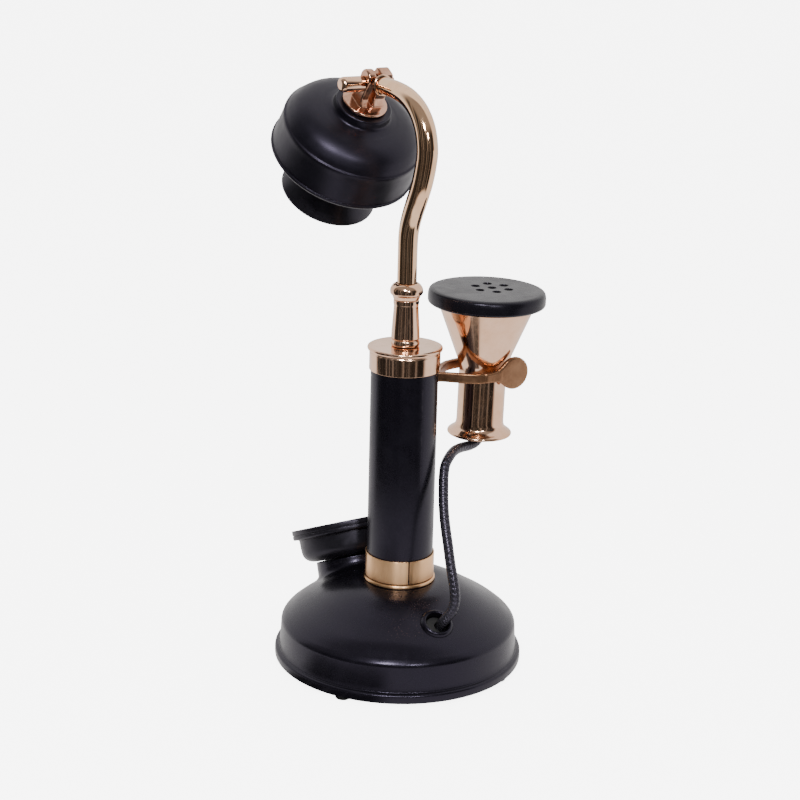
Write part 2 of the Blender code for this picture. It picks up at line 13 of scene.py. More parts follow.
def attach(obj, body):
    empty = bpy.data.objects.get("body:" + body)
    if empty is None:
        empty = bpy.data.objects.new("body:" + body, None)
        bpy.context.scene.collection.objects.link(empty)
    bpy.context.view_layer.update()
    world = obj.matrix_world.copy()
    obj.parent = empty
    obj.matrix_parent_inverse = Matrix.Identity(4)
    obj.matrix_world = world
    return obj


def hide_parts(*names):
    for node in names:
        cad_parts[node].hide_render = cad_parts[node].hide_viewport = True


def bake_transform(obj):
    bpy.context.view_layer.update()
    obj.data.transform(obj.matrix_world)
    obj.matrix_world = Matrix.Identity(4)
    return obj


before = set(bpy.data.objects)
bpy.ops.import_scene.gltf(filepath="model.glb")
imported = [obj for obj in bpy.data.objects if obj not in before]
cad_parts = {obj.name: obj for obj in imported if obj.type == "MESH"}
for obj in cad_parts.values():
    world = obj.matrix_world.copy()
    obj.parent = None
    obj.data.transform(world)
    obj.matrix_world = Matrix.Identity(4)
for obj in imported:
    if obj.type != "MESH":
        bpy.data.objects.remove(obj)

MM = 0.001
PIVOT = (0, -42, 344)
log = logging.getLogger("telephone")

Station = tuple[float, float]
Tree = bpy.types.NodeTree
Piece = bpy.types.Object
Finish = bpy.types.Material
SMOOTH_ANGLE = 34.0
RING_WELD = 0.000002
TUBE_WELD = 0.000001
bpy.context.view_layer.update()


# ---- Node groups shared by the finishes -------------------------------------------------------------


class Shared(Enum):
    """The surface effects that several finishes use."""

    SMUDGES = "handling_smudges"
    SCRATCHES = "hairline_scratches"
    DUST = "settled_dust"
    TURNING = "turning_marks"
    EDGES = "rubbed_edges"
    BRAID = "cord_braid"


@dataclass
class GroupMaker:
    """Builds each shared node group once and hands it out after that."""

    made: dict[Shared, Tree] = field(default_factory=dict)

    def get(self, effect: Shared) -> Tree:
        """Return the group for an effect, building it on first use.

        Args:
            effect: The surface effect wanted.

        Returns:
            The node group.
        """
        if effect not in self.made:
            build: Callable[[str], Tree] = getattr(self, effect.name.lower())
            self.made[effect] = build(effect.value)
        return self.made[effect]

    @staticmethod
    def start(name: str, *outputs: str, **numbers: float) -> tuple:
        """Open an empty group with its named sockets.

        Args:
            name: The group's name.
            outputs: Name of each output value.
            numbers: Name and start value of each number input, which follow the Vector input.

        Returns:
            The group, its input node and its output node.
        """
        tree = bpy.data.node_groups.new(name, "ShaderNodeTree")
        tree.interface.new_socket(name="Vector", in_out="INPUT", socket_type="NodeSocketVector")
        for label, value in numbers.items():
            socket = tree.interface.new_socket(name=label, in_out="INPUT", socket_type="NodeSocketFloat")
            socket.default_value = value
        for label in outputs:
            tree.interface.new_socket(name=label, in_out="OUTPUT", socket_type="NodeSocketFloat")
        return tree, tree.nodes.new("NodeGroupInput"), tree.nodes.new("NodeGroupOutput")

    def smudges(self, name: str) -> Tree:
        """Soft cloudy patches, as fingers and a polishing cloth leave.

        Args:
            name: The group's name.

        Returns:
            The node group, whose Mask runs from 0 to 1.
        """
        tree, into, out = self.start(name, "Mask", Scale=60.0)
        vector, scale = into.outputs["Vector"], into.outputs["Scale"]
        broad = noise(tree, vector, scale, detail=4.0, roughness=0.62, distortion=0.6)
        fine = noise(tree, vector, math_node(tree, "MULTIPLY", scale, 5.3), detail=3.0, roughness=0.6)
        both = math_node(tree, "MULTIPLY_ADD", fine, 0.35, math_node(tree, "MULTIPLY", broad, 0.75))
        tree.links.new(spread(tree, both, 0.36, 0.74), out.inputs["Mask"])
        return tree

    def scratches(self, name: str) -> Tree:
        """Sparse hairlines that run in two slanted directions.

        Args:
            name: The group's name.

        Returns:
            The node group, whose Mask is 1 on a scratch.
        """
        tree, into, out = self.start(name, "Mask", Scale=40.0)
        masks = []
        for turn, stretch in (((0.3, 0.5, 0.9), (1.0, 26.0, 3.0)), ((1.1, 0.2, 2.3), (30.0, 1.2, 4.0))):
            mapping = tree.nodes.new("ShaderNodeMapping")
            mapping.inputs["Rotation"].default_value = turn
            mapping.inputs["Scale"].default_value = stretch
            tree.links.new(into.outputs["Vector"], mapping.inputs["Vector"])
            line = noise(tree, mapping.outputs["Vector"], into.outputs["Scale"], detail=2.0, roughness=0.5)
            masks.append(spread(tree, line, 0.70, 0.76))
        tree.links.new(math_node(tree, "MAXIMUM", masks[0], masks[1]), out.inputs["Mask"])
        return tree

    def dust(self, name: str) -> Tree:
        """Fine specks, denser on faces that look up.

        Args:
            name: The group's name.

        Returns:
            The node group, whose Mask is 1 on a speck.
        """
        tree, into, out = self.start(name, "Mask", Scale=900.0, Amount=0.5)
        specks = noise(tree, into.outputs["Vector"], into.outputs["Scale"], detail=1.0, roughness=0.5)
        patches_scale = math_node(tree, "MULTIPLY", into.outputs["Scale"], 0.05)
        patches = noise(tree, into.outputs["Vector"], patches_scale, detail=2.0, roughness=0.5)
        geometry = tree.nodes.new("ShaderNodeNewGeometry")
        split = tree.nodes.new("ShaderNodeSeparateXYZ")
        tree.links.new(geometry.outputs["Normal"], split.inputs["Vector"])
        upward = spread(tree, split.outputs["Z"], 0.0, 1.0)
        speck = spread(tree, specks, 0.70, 0.78)
        lying = math_node(tree, "MULTIPLY", speck, math_node(tree, "MULTIPLY", upward, patches))
        tree.links.new(math_node(tree, "MULTIPLY", lying, into.outputs["Amount"]), out.inputs["Mask"])
        return tree

    def turning(self, name: str) -> Tree:
        """Fine rings about the Z axis of the vector, as a lathe tool leaves.

        Args:
            name: The group's name.

        Returns:
            The node group, whose Height runs from 0 to 1.
        """
        tree, into, out = self.start(name, "Height", Pitch=900.0)
        pitch = into.outputs["Pitch"]
        split = tree.nodes.new("ShaderNodeSeparateXYZ")
        tree.links.new(into.outputs["Vector"], split.inputs["Vector"])
        across = math_node(tree, "MULTIPLY", split.outputs["X"], split.outputs["X"])
        deep = math_node(tree, "MULTIPLY", split.outputs["Y"], split.outputs["Y"])
        radius = math_node(tree, "SQRT", math_node(tree, "ADD", across, deep), 0.0)
        rings = tree.nodes.new("ShaderNodeCombineXYZ")
        tree.links.new(math_node(tree, "MULTIPLY", radius, pitch), rings.inputs["X"])
        tree.links.new(math_node(tree, "MULTIPLY", split.outputs["Z"], pitch), rings.inputs["Y"])
        lines = noise(tree, rings.outputs["Vector"], 1.0, detail=3.0, roughness=0.7)
        tree.links.new(lines, out.inputs["Height"])
        return tree

    def edges(self, name: str) -> Tree:
        """Edges that cloths and fingers have rubbed.

        Args:
            name: The group's name.

        Returns:
            The node group, whose Mask is 1 on a rubbed edge.
        """
        tree, into, out = self.start(name, "Mask", Scale=220.0)
        geometry = tree.nodes.new("ShaderNodeNewGeometry")
        edge = spread(tree, geometry.outputs["Pointiness"], 0.53, 0.62)
        patchy = noise(tree, into.outputs["Vector"], into.outputs["Scale"], detail=5.0, roughness=0.65)
        broken = math_node(tree, "MULTIPLY", edge, spread(tree, patchy, 0.38, 0.62))
        tree.links.new(broken, out.inputs["Mask"])
        return tree

    def braid(self, name: str) -> Tree:
        """Strands that cross in two directions round a cord, from its own U and V.

        Args:
            name: The group's name.

        Returns:
            The node group: Height of the strands and Shade, which varies from strand to strand.
        """
        tree, into, out = self.start(name, "Height", "Shade", Turns=10.0, Rows=90.0)
        split = tree.nodes.new("ShaderNodeSeparateXYZ")
        tree.links.new(into.outputs["Vector"], split.inputs["Vector"])
        along = math_node(tree, "MULTIPLY", split.outputs["X"], into.outputs["Rows"])
        around = math_node(tree, "MULTIPLY", split.outputs["Y"], into.outputs["Turns"])
        waves = []
        for sign in ("ADD", "SUBTRACT"):
            phase = math_node(tree, "MULTIPLY", math_node(tree, sign, along, around), math.tau)
            waves.append(math_node(tree, "SINE", phase))
        woven = math_node(tree, "MAXIMUM", waves[0], waves[1])
        tree.links.new(spread(tree, woven, -0.4, 1.0), out.inputs["Height"])
        tree.links.new(spread(tree, waves[0], -1.0, 1.0), out.inputs["Shade"])
        return tree


def noise(tree: Tree, vector: object, scale: object, **settings: float) -> object:
    """Add a noise texture.

    Args:
        tree: The tree that gets the node.
        vector: The socket with the place to sample.
        scale: A number or a socket.
        settings: Values for detail, roughness or distortion.

    Returns:
        The socket with the noise value.
    """
    node = tree.nodes.new("ShaderNodeTexNoise")
    tree.links.new(vector, node.inputs["Vector"])
    put(tree, scale, node.inputs["Scale"])
    for label, value in settings.items():
        node.inputs[label.title()].default_value = value
    return node.outputs["Fac"]


def math_node(
    tree: Tree, operation: str, first: object, second: object = 0.0, third: object = None
) -> object:
    """Add one math node.

    Args:
        tree: The tree that gets the node.
        operation: The math operation.
        first: A number or a socket.
        second: A number or a socket.
        third: A number or a socket, for operations that take three.

    Returns:
        The socket with the result.
    """
    node = tree.nodes.new("ShaderNodeMath")
    node.operation = operation
    for value, socket in zip((first, second, third), node.inputs):
        if value is not None:
            put(tree, value, socket)
    return node.outputs[0]


def spread(tree: Tree, value: object, low: float, high: float) -> object:
    """Stretch a value so that low becomes 0 and high becomes 1, clamped.

    Args:
        tree: The tree that gets the node.
        value: The socket to stretch.
        low: The value that becomes 0.
        high: The value that becomes 1.

    Returns:
        The socket with the result.
    """
    node = tree.nodes.new("ShaderNodeMapRange")
    node.interpolation_type = "SMOOTHSTEP"
    tree.links.new(value, node.inputs["Value"])
    node.inputs["From Min"].default_value = low
    node.inputs["From Max"].default_value = high
    return node.outputs["Result"]


def put(tree: Tree, value: object, socket: object) -> None:
    """Give a socket a number or a link.

    Args:
        tree: The tree that holds the socket.
        value: A number or another socket.
        socket: The input to fill.
    """
    if isinstance(value, bpy.types.NodeSocket):
        tree.links.new(value, socket)
    else:
        socket.default_value = value


# ---- Finishes ---------------------------------------------------------------------------------------

GROUPS = GroupMaker()


@dataclass
class Palette:
    """A material under construction: its tree, shader and the vector its patterns read."""

    name: str
    uv: bool = False
    axis: Matrix = field(default_factory=Matrix)

    def __post_init__(self) -> None:
        """Open the material and find its shader."""
        self.material = bpy.data.materials.new(self.name)
        self.material.use_nodes = True
        self.tree = self.material.node_tree
        self.shader = self.tree.nodes["Principled BSDF"]
        place = self.tree.nodes.new("ShaderNodeTexCoord")
        self.vector = place.outputs["UV" if self.uv else "Object"]
        if self.axis != Matrix():
            mapping = self.tree.nodes.new("ShaderNodeMapping")
            back = self.axis.inverted()
            mapping.inputs["Location"].default_value = back.translation * MM
            mapping.inputs["Rotation"].default_value = back.to_euler()
            self.tree.links.new(self.vector, mapping.inputs["Vector"])
            self.vector = mapping.outputs["Vector"]

    def effect(self, effect: Shared, output: str, **values: float) -> object:
        """Place a shared group and return one of its outputs.

        Args:
            effect: The shared effect.
            output: The output's name.
            values: Values for the group's number inputs.

        Returns:
            The output socket.
        """
        node = self.tree.nodes.new("ShaderNodeGroup")
        node.node_tree = GROUPS.get(effect)
        self.tree.links.new(self.vector, node.inputs["Vector"])
        for label, value in values.items():
            node.inputs[label].default_value = value
        return node.outputs[output]

    def mix(self, mask: object, first: object, second: object) -> object:
        """Mix two colours by a mask.

        Args:
            mask: The socket that picks the second colour.
            first: A colour or a colour socket.
            second: A colour or a colour socket.

        Returns:
            The mixed colour socket.
        """
        node = self.tree.nodes.new("ShaderNodeMix")
        node.data_type = "RGBA"
        self.tree.links.new(mask, node.inputs["Factor"])
        for value, socket in ((first, node.inputs[6]), (second, node.inputs[7])):
            put(self.tree, (*value, 1.0) if isinstance(value, tuple) else value, socket)
        return node.outputs[2]

    def vary(self, mask: object, low: float, high: float) -> object:
        """Turn a 0 to 1 mask into a range of values.

        Args:
            mask: The mask.
            low: The value where the mask is 0.
            high: The value where the mask is 1.

        Returns:
            The value socket.
        """
        return math_node(self.tree, "MULTIPLY_ADD", mask, high - low, low)

    def feed(self, label: str, socket: object) -> None:
        """Link a socket to one of the shader's inputs."""
        self.tree.links.new(socket, self.shader.inputs[label])

    def fix(self, **values: float) -> None:
        """Set constant shader inputs, named with underscores for spaces."""
        for label, value in values.items():
            self.shader.inputs[label.replace("_", " ")].default_value = value

    def bump(self, height: object, depth: float, strength: float = 1.0) -> None:
        """Feed a height to the shader's normal, after any bump already there.

        Args:
            height: The height socket.
            depth: The relief's depth in metres.
            strength: How strongly it shows.
        """
        node = self.tree.nodes.new("ShaderNodeBump")
        node.inputs["Distance"].default_value = depth
        node.inputs["Strength"].default_value = strength
        self.tree.links.new(height, node.inputs["Height"])
        normal = self.shader.inputs["Normal"]
        if normal.links:
            self.tree.links.new(normal.links[0].from_socket, node.inputs["Normal"])
        self.tree.links.new(node.outputs["Normal"], normal)


@dataclass(frozen=True)
class Enamel:
    """Satin black enamel over cast metal, with a faint ripple, dust and rubbed edges."""

    colour: tuple[float, float, float] = (0.0032, 0.0028, 0.0044)
    rubbed: tuple[float, float, float] = (0.018, 0.016, 0.020)
    smooth: float = 0.21
    dull: float = 0.31
    dust: float = 0.3

    def make(self, name: str) -> Finish:
        """Build the material under a name of its own."""
        look = Palette(name)
        look.fix(IOR=1.45, Specular_IOR_Level=0.42, Specular_Tint=(0.78, 0.70, 1.0, 1.0))
        smudge = look.effect(Shared.SMUDGES, "Mask", Scale=38.0)
        edge = look.effect(Shared.EDGES, "Mask", Scale=260.0)
        dust = look.effect(Shared.DUST, "Mask", Scale=2200.0, Amount=self.dust)
        base = look.mix(edge, self.colour, self.rubbed)
        look.feed("Base Color", look.mix(dust, base, (0.16, 0.15, 0.15)))
        look.feed("Roughness", look.vary(smudge, self.smooth, self.dull))
        ripple = noise(look.tree, look.vector, 420.0, detail=2.0, roughness=0.5)
        look.bump(ripple, 0.00006, 0.35)
        look.bump(noise(look.tree, look.vector, 2600.0, detail=2.0, roughness=0.6), 0.00001, 0.5)
        return look.material


@dataclass(frozen=True)
class Moulded:
    """Black ebonite or moulded plastic: a dry sheen, fine grain and handling marks."""

    colour: tuple[float, float, float] = (0.0055, 0.005, 0.0065)
    worn: tuple[float, float, float] = (0.028, 0.026, 0.030)
    smooth: float = 0.34
    dull: float = 0.5
    grain: float = 0.5
    sheen: float = 0.42

    def make(self, name: str, axis: Matrix = Matrix()) -> Finish:
        """Build the material.

        Args:
            name: The material's name.
            axis: The piece's axis, in millimetres, for its turning marks.

        Returns:
            The material.
        """
        look = Palette(name, axis=axis)
        look.fix(IOR=1.5, Specular_IOR_Level=self.sheen, Specular_Tint=(0.84, 0.78, 1.0, 1.0))
        smudge = look.effect(Shared.SMUDGES, "Mask", Scale=55.0)
        edge = look.effect(Shared.EDGES, "Mask", Scale=300.0)
        rings = look.effect(Shared.TURNING, "Height", Pitch=1500.0)
        dust = look.effect(Shared.DUST, "Mask", Scale=2400.0, Amount=0.5)
        base = look.mix(edge, self.colour, self.worn)
        look.feed("Base Color", look.mix(dust, base, (0.17, 0.16, 0.16)))
        look.feed("Roughness", look.vary(smudge, self.smooth, self.dull))
        look.bump(rings, 0.000012, self.grain)
        look.bump(noise(look.tree, look.vector, 3000.0, detail=3.0, roughness=0.6), 0.000015, self.grain)
        return look.material


@dataclass(frozen=True)
class Brass:
    """Brass: its tone, how bright it is polished and how much of its making shows."""

    colour: tuple[float, float, float] = (0.90, 0.59, 0.42)
    tarnish: tuple[float, float, float] = (0.68, 0.37, 0.19)
    smooth: float = 0.06
    dull: float = 0.17
    tarnished: float = 0.55
    marks: float = 0.25
    pitch: float = 1100.0
    cast: float = 0.0
    drawn: float = 0.0

    def make(self, name: str, axis: Matrix = Matrix()) -> Finish:
        """Build the material.

        Args:
            name: The material's name.
            axis: The piece's axis, in millimetres, for its turning marks.

        Returns:
            The material.
        """
        look = Palette(name, axis=axis)
        look.fix(Metallic=1.0, Anisotropic=self.drawn, Anisotropic_Rotation=0.25)
        smudge = look.effect(Shared.SMUDGES, "Mask", Scale=70.0)
        patches = look.effect(Shared.SMUDGES, "Mask", Scale=24.0)
        lines = look.effect(Shared.SCRATCHES, "Mask", Scale=70.0)
        rings = look.effect(Shared.TURNING, "Height", Pitch=self.pitch)
        aged = math_node(look.tree, "MULTIPLY", patches, self.tarnished)
        look.feed("Base Color", look.mix(aged, self.colour, self.tarnish))
        rough = look.vary(smudge, self.smooth, self.dull)
        rough = math_node(look.tree, "MULTIPLY_ADD", lines, 0.12, rough)
        look.feed("Roughness", math_node(look.tree, "MULTIPLY_ADD", rings, 0.06 * self.marks, rough))
        look.bump(rings, 0.00001, self.marks)
        if self.cast:
            look.bump(noise(look.tree, look.vector, 500.0, detail=5.0, roughness=0.65), 0.00012, self.cast)
            look.bump(noise(look.tree, look.vector, 2400.0, detail=3.0, roughness=0.6), 0.00003, self.cast)
        return look.material


@dataclass(frozen=True)
class Steel:
    """Plain machined steel."""

    colour: tuple[float, float, float] = (0.50, 0.50, 0.52)
    roughness: float = 0.28

    def make(self, name: str, axis: Matrix = Matrix()) -> Finish:
        """Build the material.

        Args:
            name: The material's name.
            axis: The piece's axis, in millimetres, for its turning marks.

        Returns:
            The material.
        """
        look = Palette(name, axis=axis)
        look.fix(Metallic=1.0)
        smudge = look.effect(Shared.SMUDGES, "Mask", Scale=90.0)
        rings = look.effect(Shared.TURNING, "Height", Pitch=1300.0)
        look.feed("Base Color", look.mix(smudge, self.colour, (0.40, 0.39, 0.38)))
        look.feed("Roughness", look.vary(smudge, self.roughness, self.roughness + 0.16))
        look.bump(rings, 0.00001, 0.4)
        return look.material


@dataclass(frozen=True)
class Rubber:
    """Dull black rubber with a fine pebble."""

    colour: tuple[float, float, float] = (0.008, 0.008, 0.0085)

    def make(self, name: str) -> Finish:
        """Build the material under a name of its own."""
        look = Palette(name)
        smudge = look.effect(Shared.SMUDGES, "Mask", Scale=120.0)
        look.feed("Base Color", look.mix(smudge, self.colour, (0.018, 0.0175, 0.0175)))
        look.feed("Roughness", look.vary(smudge, 0.62, 0.85))
        look.bump(noise(look.tree, look.vector, 1800.0, detail=3.0, roughness=0.6), 0.00005, 0.5)
        return look.material


@dataclass(frozen=True)
class BraidedCord:
    """A waxed black braid over the cord, with bright worn strands."""

    rows: float = 66.0
    turns: float = 5.0

    def make(self, name: str) -> Finish:
        """Build the material under a name of its own."""
        look = Palette(name, uv=True)
        look.fix(IOR=1.5, Specular_Tint=(0.82, 0.74, 1.0, 1.0))
        height = look.effect(Shared.BRAID, "Height", Rows=self.rows, Turns=self.turns)
        shade = look.effect(Shared.BRAID, "Shade", Rows=self.rows, Turns=self.turns)
        place = look.tree.nodes.new("ShaderNodeTexCoord")
        patches = noise(look.tree, place.outputs["Object"], 160.0, detail=3.0, roughness=0.6)
        fibre = noise(look.tree, place.outputs["Object"], 2600.0, detail=3.0, roughness=0.7)
        base = look.mix(shade, (0.008, 0.008, 0.010), (0.016, 0.015, 0.018))
        worn = spread(look.tree, patches, 0.52, 0.70)
        raised = math_node(look.tree, "MULTIPLY", worn, height)
        look.feed("Base Color", look.mix(raised, base, (0.030, 0.027, 0.034)))
        look.feed("Roughness", look.vary(patches, 0.16, 0.40))
        look.bump(height, 0.00024, 0.8)
        look.bump(fibre, 0.00003, 0.5)
        return look.material


@dataclass(frozen=True)
class Plate:
    """The printed number plate, slightly yellowed in soft patches."""

    colour: tuple[float, float, float] = (0.80, 0.75, 0.63)

    def make(self, name: str) -> Finish:
        """Build the material under a name of its own."""
        look = Palette(name)
        smudge = look.effect(Shared.SMUDGES, "Mask", Scale=80.0)
        look.feed("Base Color", look.mix(smudge, self.colour, (0.70, 0.62, 0.48)))
        look.feed("Roughness", look.vary(smudge, 0.25, 0.42))
        look.bump(noise(look.tree, look.vector, 900.0, detail=2.0, roughness=0.5), 0.00002, 0.3)
        return look.material


@dataclass(frozen=True)
class Board:
    """A lacquered circuit board with faint copper tracks under the lacquer."""

    colour: tuple[float, float, float] = (0.012, 0.05, 0.025)

    def make(self, name: str) -> Finish:
        """Build the material under a name of its own."""
        look = Palette(name)
        tracks = look.effect(Shared.SCRATCHES, "Mask", Scale=30.0)
        look.feed("Base Color", look.mix(tracks, self.colour, (0.02, 0.10, 0.045)))
        look.feed("Roughness", look.vary(look.effect(Shared.SMUDGES, "Mask", Scale=60.0), 0.25, 0.4))
        look.bump(tracks, 0.00003, 0.5)
        return look.material


class Metal(Enum):
    """The brass and steel finishes of this telephone."""

    MIRROR = Brass()
    TUBE = Brass(colour=(0.93, 0.62, 0.40), smooth=0.05, dull=0.12, marks=0.1)
    RING = Brass(
        colour=(0.92, 0.57, 0.31), tarnish=(0.85, 0.49, 0.23), smooth=0.32, dull=0.37, marks=0.4, drawn=0.85
    )
    FITTING = Brass(
        colour=(0.76, 0.46, 0.33), tarnish=(0.34, 0.15, 0.08), smooth=0.10, dull=0.26, tarnished=0.75,
        cast=0.3
    )
    FORK = Brass(
        colour=(0.42, 0.235, 0.135), tarnish=(0.20, 0.095, 0.05), smooth=0.30, dull=0.46, tarnished=0.8,
        marks=0.2, cast=0.5
    )
    STEEL = Steel()
    DARK_STEEL = Steel(colour=(0.30, 0.30, 0.31), roughness=0.34)

    def make(self, name: str, axis: Matrix = Matrix()) -> Finish:
        """Build this finish's material.

        Args:
            name: The material's name.
            axis: The piece's axis, in millimetres, for its turning marks.

        Returns:
            The material.
        """
        return self.value.make(name, axis)


# ---- Modelling --------------------------------------------------------------------------------------


def flow(points: Sequence[Station], steps: int = 5) -> list[Station]:
    """Run a smooth curve through stations.

    Args:
        points: The (radius, height) stations to pass through.
        steps: How many points each span gets.

    Returns:
        The dense list of stations, first and last included.
    """
    return [(place.x, place.y) for place in smooth_path([(r, h, 0.0) for r, h in points], steps)]


def smooth_path(points: Iterable[Sequence[float]], steps: int) -> list[Vector]:
    """Run a smooth curve through places in space.

    Args:
        points: The places to pass through.
        steps: How many points each span gets.

    Returns:
        The dense list of places.
    """
    route = [Vector(point) for point in points]
    padded = [2 * route[0] - route[1]] + route + [2 * route[-1] - route[-2]]
    result = []
    for before, start, end, after in zip(padded, padded[1:], padded[2:], padded[3:]):
        bend = 2 * before - 5 * start + 4 * end - after
        twist = 3 * start - before - 3 * end + after
        for step in range(steps):
            t = step / steps
            result.append(0.5 * (2 * start + (end - before) * t + bend * t * t + twist * t ** 3))
    return result + [route[-1]]


def rounded(corners: Sequence[tuple[float, ...]], steps: int = 4) -> list[Station]:
    """Round the corners of an outline.

    Args:
        corners: (radius, height) or (radius, height, fillet) of each corner.
        steps: How many points each fillet gets.

    Returns:
        The outline's stations.
    """
    result: list[Station] = []
    for index, corner in enumerate(corners):
        here = Vector(corner[:2])
        if len(corner) < 3 or index in (0, len(corners) - 1):
            result.append((here.x, here.y))
            continue
        back = Vector(corners[index - 1][:2]) - here
        ahead = Vector(corners[index + 1][:2]) - here
        reach = min(corner[2], back.length * 0.49, ahead.length * 0.49)
        start = here + back.normalized() * reach
        end = here + ahead.normalized() * reach
        for step in range(steps + 1):
            t = step / steps
            point = start * (1 - t) ** 2 + here * 2 * t * (1 - t) + end * t * t
            result.append((point.x, point.y))
    return result


def deselect() -> None:
    """Leave edit mode and deselect everything."""
    if bpy.context.object and bpy.context.object.mode != "OBJECT":
        bpy.ops.object.mode_set(mode="OBJECT")
    bpy.ops.object.select_all(action="DESELECT")


def pick(piece: Piece) -> None:
    """Select one object alone and make it active."""
    deselect()
    piece.select_set(True)
    bpy.context.view_layer.objects.active = piece


def seal(weld: float = 0.0) -> None:
    """Finish the mesh in edit mode: weld its points, turn its faces outward and leave edit mode.

    Args:
        weld: Points closer than this are joined, in metres.
    """
    bpy.ops.mesh.select_all(action="SELECT")
    if weld:
        bpy.ops.mesh.remove_doubles(threshold=weld)
    bpy.ops.mesh.normals_make_consistent(inside=False)
    bpy.ops.object.mode_set(mode="OBJECT")


def settle(piece: Piece, name: str, place: Matrix = Matrix(), angle: float = SMOOTH_ANGLE) -> Piece:
    """Name a new piece, put its place into its mesh and shade it.

    Args:
        piece: The object, modelled about its own axis in metres.
        name: Its name.
        place: Where it goes, in millimetres.
        angle: Edges sharper than this stay sharp, in degrees.

    Returns:
        The same object.
    """
    pick(piece)
    piece.name = name
    piece.data.name = name
    metres = Matrix.Translation(place.translation * MM) @ place.to_3x3().to_4x4()
    piece.matrix_world = metres @ piece.matrix_world
    bpy.context.view_layer.update()
    bpy.ops.object.transform_apply(location=True, rotation=True, scale=True)
    bpy.ops.object.shade_smooth_by_angle(angle=math.radians(angle))
    return piece


def turned(name: str, outline: Sequence[Station], place: Matrix = Matrix(), closed: bool = False,
           segments: int = 96) -> Piece:
    """Turn a piece as on a lathe: a ring extruded, resized and raised from station to station.

    Args:
        name: The piece's name.
        outline: (radius, height) stations in millimetres.
        place: Where the piece's axis goes, in millimetres.
        closed: True for a ring-shaped section, whose last station meets its first. Otherwise both
            ends are capped.
        segments: How many sides the piece has.

    Returns:
        The new object.
    """
    deselect()
    radius, height = outline[0]
    bpy.ops.mesh.primitive_circle_add(vertices=segments, radius=radius * MM, location=(0, 0, 0))
    piece = bpy.context.object
    bpy.ops.object.mode_set(mode="EDIT")
    bpy.ops.mesh.select_all(action="SELECT")
    bpy.ops.transform.translate(value=(0, 0, height * MM))
    if not closed:
        bpy.ops.mesh.edge_face_add()
    for next_radius, next_height in list(outline[1:]) + ([outline[0]] if closed else []):
        rise = (next_height - height) * MM
        bpy.ops.mesh.extrude_region_move(TRANSFORM_OT_translate={"value": (0, 0, rise)})
        ratio = next_radius / radius
        bpy.ops.transform.resize(value=(ratio, ratio, 1), center_override=(0, 0, next_height * MM))
        radius, height = next_radius, next_height
    seal(RING_WELD if closed else 0.0)
    return settle(piece, name, place)


def prism(name: str, outline: Sequence[Station], low: float, high: float, place: Matrix = Matrix(),
          bevel: float = 0.0) -> Piece:
    """Cut a flat blank to an outline and give it thickness.

    Args:
        name: The piece's name.
        outline: (x, y) corners in millimetres.
        low: The height of its lower face.
        high: The height of its upper face.
        place: Where it goes, in millimetres.
        bevel: How far its edges are rounded, in millimetres.

    Returns:
        The new object.
    """
    deselect()
    bpy.ops.mesh.primitive_circle_add(vertices=len(outline), radius=0.01, fill_type="NGON")
    piece = bpy.context.object
    for vertex, (x, y) in zip(piece.data.vertices, outline):
        vertex.co = (x * MM, y * MM, low * MM)
    bpy.ops.object.mode_set(mode="EDIT")
    bpy.ops.mesh.select_all(action="SELECT")
    bpy.ops.mesh.extrude_region_move(TRANSFORM_OT_translate={"value": (0, 0, (high - low) * MM)})
    seal()
    if bevel:
        apply_modifier(piece, "BEVEL", width=bevel * MM, segments=3, limit_method="ANGLE", angle_limit=0.7)
    return settle(piece, name, place)


def swept(name: str, route: Sequence[Sequence[float]], radii: Sequence[float], steps: int = 8,
          sides: int = 12) -> Piece:
    """Draw a round tube along a route, as a curve that is then made a mesh.

    Args:
        name: The piece's name.
        route: The places it passes through, in millimetres.
        radii: Its radius at each place, in millimetres.
        steps: How many points each span gets.
        sides: The bevel's resolution.

    Returns:
        The new object.
    """
    deselect()
    bpy.ops.curve.primitive_bezier_curve_add()
    piece = bpy.context.object
    curve = piece.data
    curve.splines.clear()
    places = smooth_path(route, steps)
    sizes = smooth_path([(radius, 0, 0) for radius in radii], steps)
    strand = curve.splines.new("POLY")
    strand.points.add(len(places) - 1)
    for point, place, size in zip(strand.points, places, sizes):
        point.co = (*(place * MM), 1.0)
        point.radius = size.x
    curve.dimensions = "3D"
    curve.bevel_depth = MM
    curve.bevel_resolution = sides
    curve.use_fill_caps = True
    bpy.ops.object.convert(target="MESH")
    piece = bpy.context.object
    bpy.ops.object.mode_set(mode="EDIT")
    seal(TUBE_WELD)
    return settle(piece, name)


def apply_modifier(piece: Piece, kind: str, **settings: object) -> None:
    """Add a modifier to a piece and apply it.

    Args:
        piece: The object.
        kind: The modifier's type.
        settings: Its settings.
    """
    pick(piece)
    modifier = piece.modifiers.new(kind.title(), kind)
    for label, value in settings.items():
        setattr(modifier, label, value)
    bpy.ops.object.modifier_apply(modifier=modifier.name)


def carve(piece: Piece, tools: Sequence[Piece]) -> Piece:
    """Cut a piece with one or more tools, which are used up.

    Args:
        piece: The object to cut.
        tools: The cutting shapes.

    Returns:
        The same piece.
    """
    for tool in tools:
        apply_modifier(piece, "BOOLEAN", operation="DIFFERENCE", solver="EXACT", object=tool)
        bpy.data.objects.remove(tool, do_unlink=True)
    pick(piece)
    bpy.ops.object.shade_smooth_by_angle(angle=math.radians(SMOOTH_ANGLE))
    return piece


def joined(name: str, parts: Sequence[Piece]) -> Piece:
    """Join several shapes into one object.

    Args:
        name: The object's name.
        parts: The shapes, which are used up.

    Returns:
        The object.
    """
    deselect()
    for part in parts:
        part.select_set(True)
    bpy.context.view_layer.objects.active = parts[0]
    bpy.ops.object.join()
    piece = bpy.context.object
    piece.name = name
    piece.data.name = name
    return piece


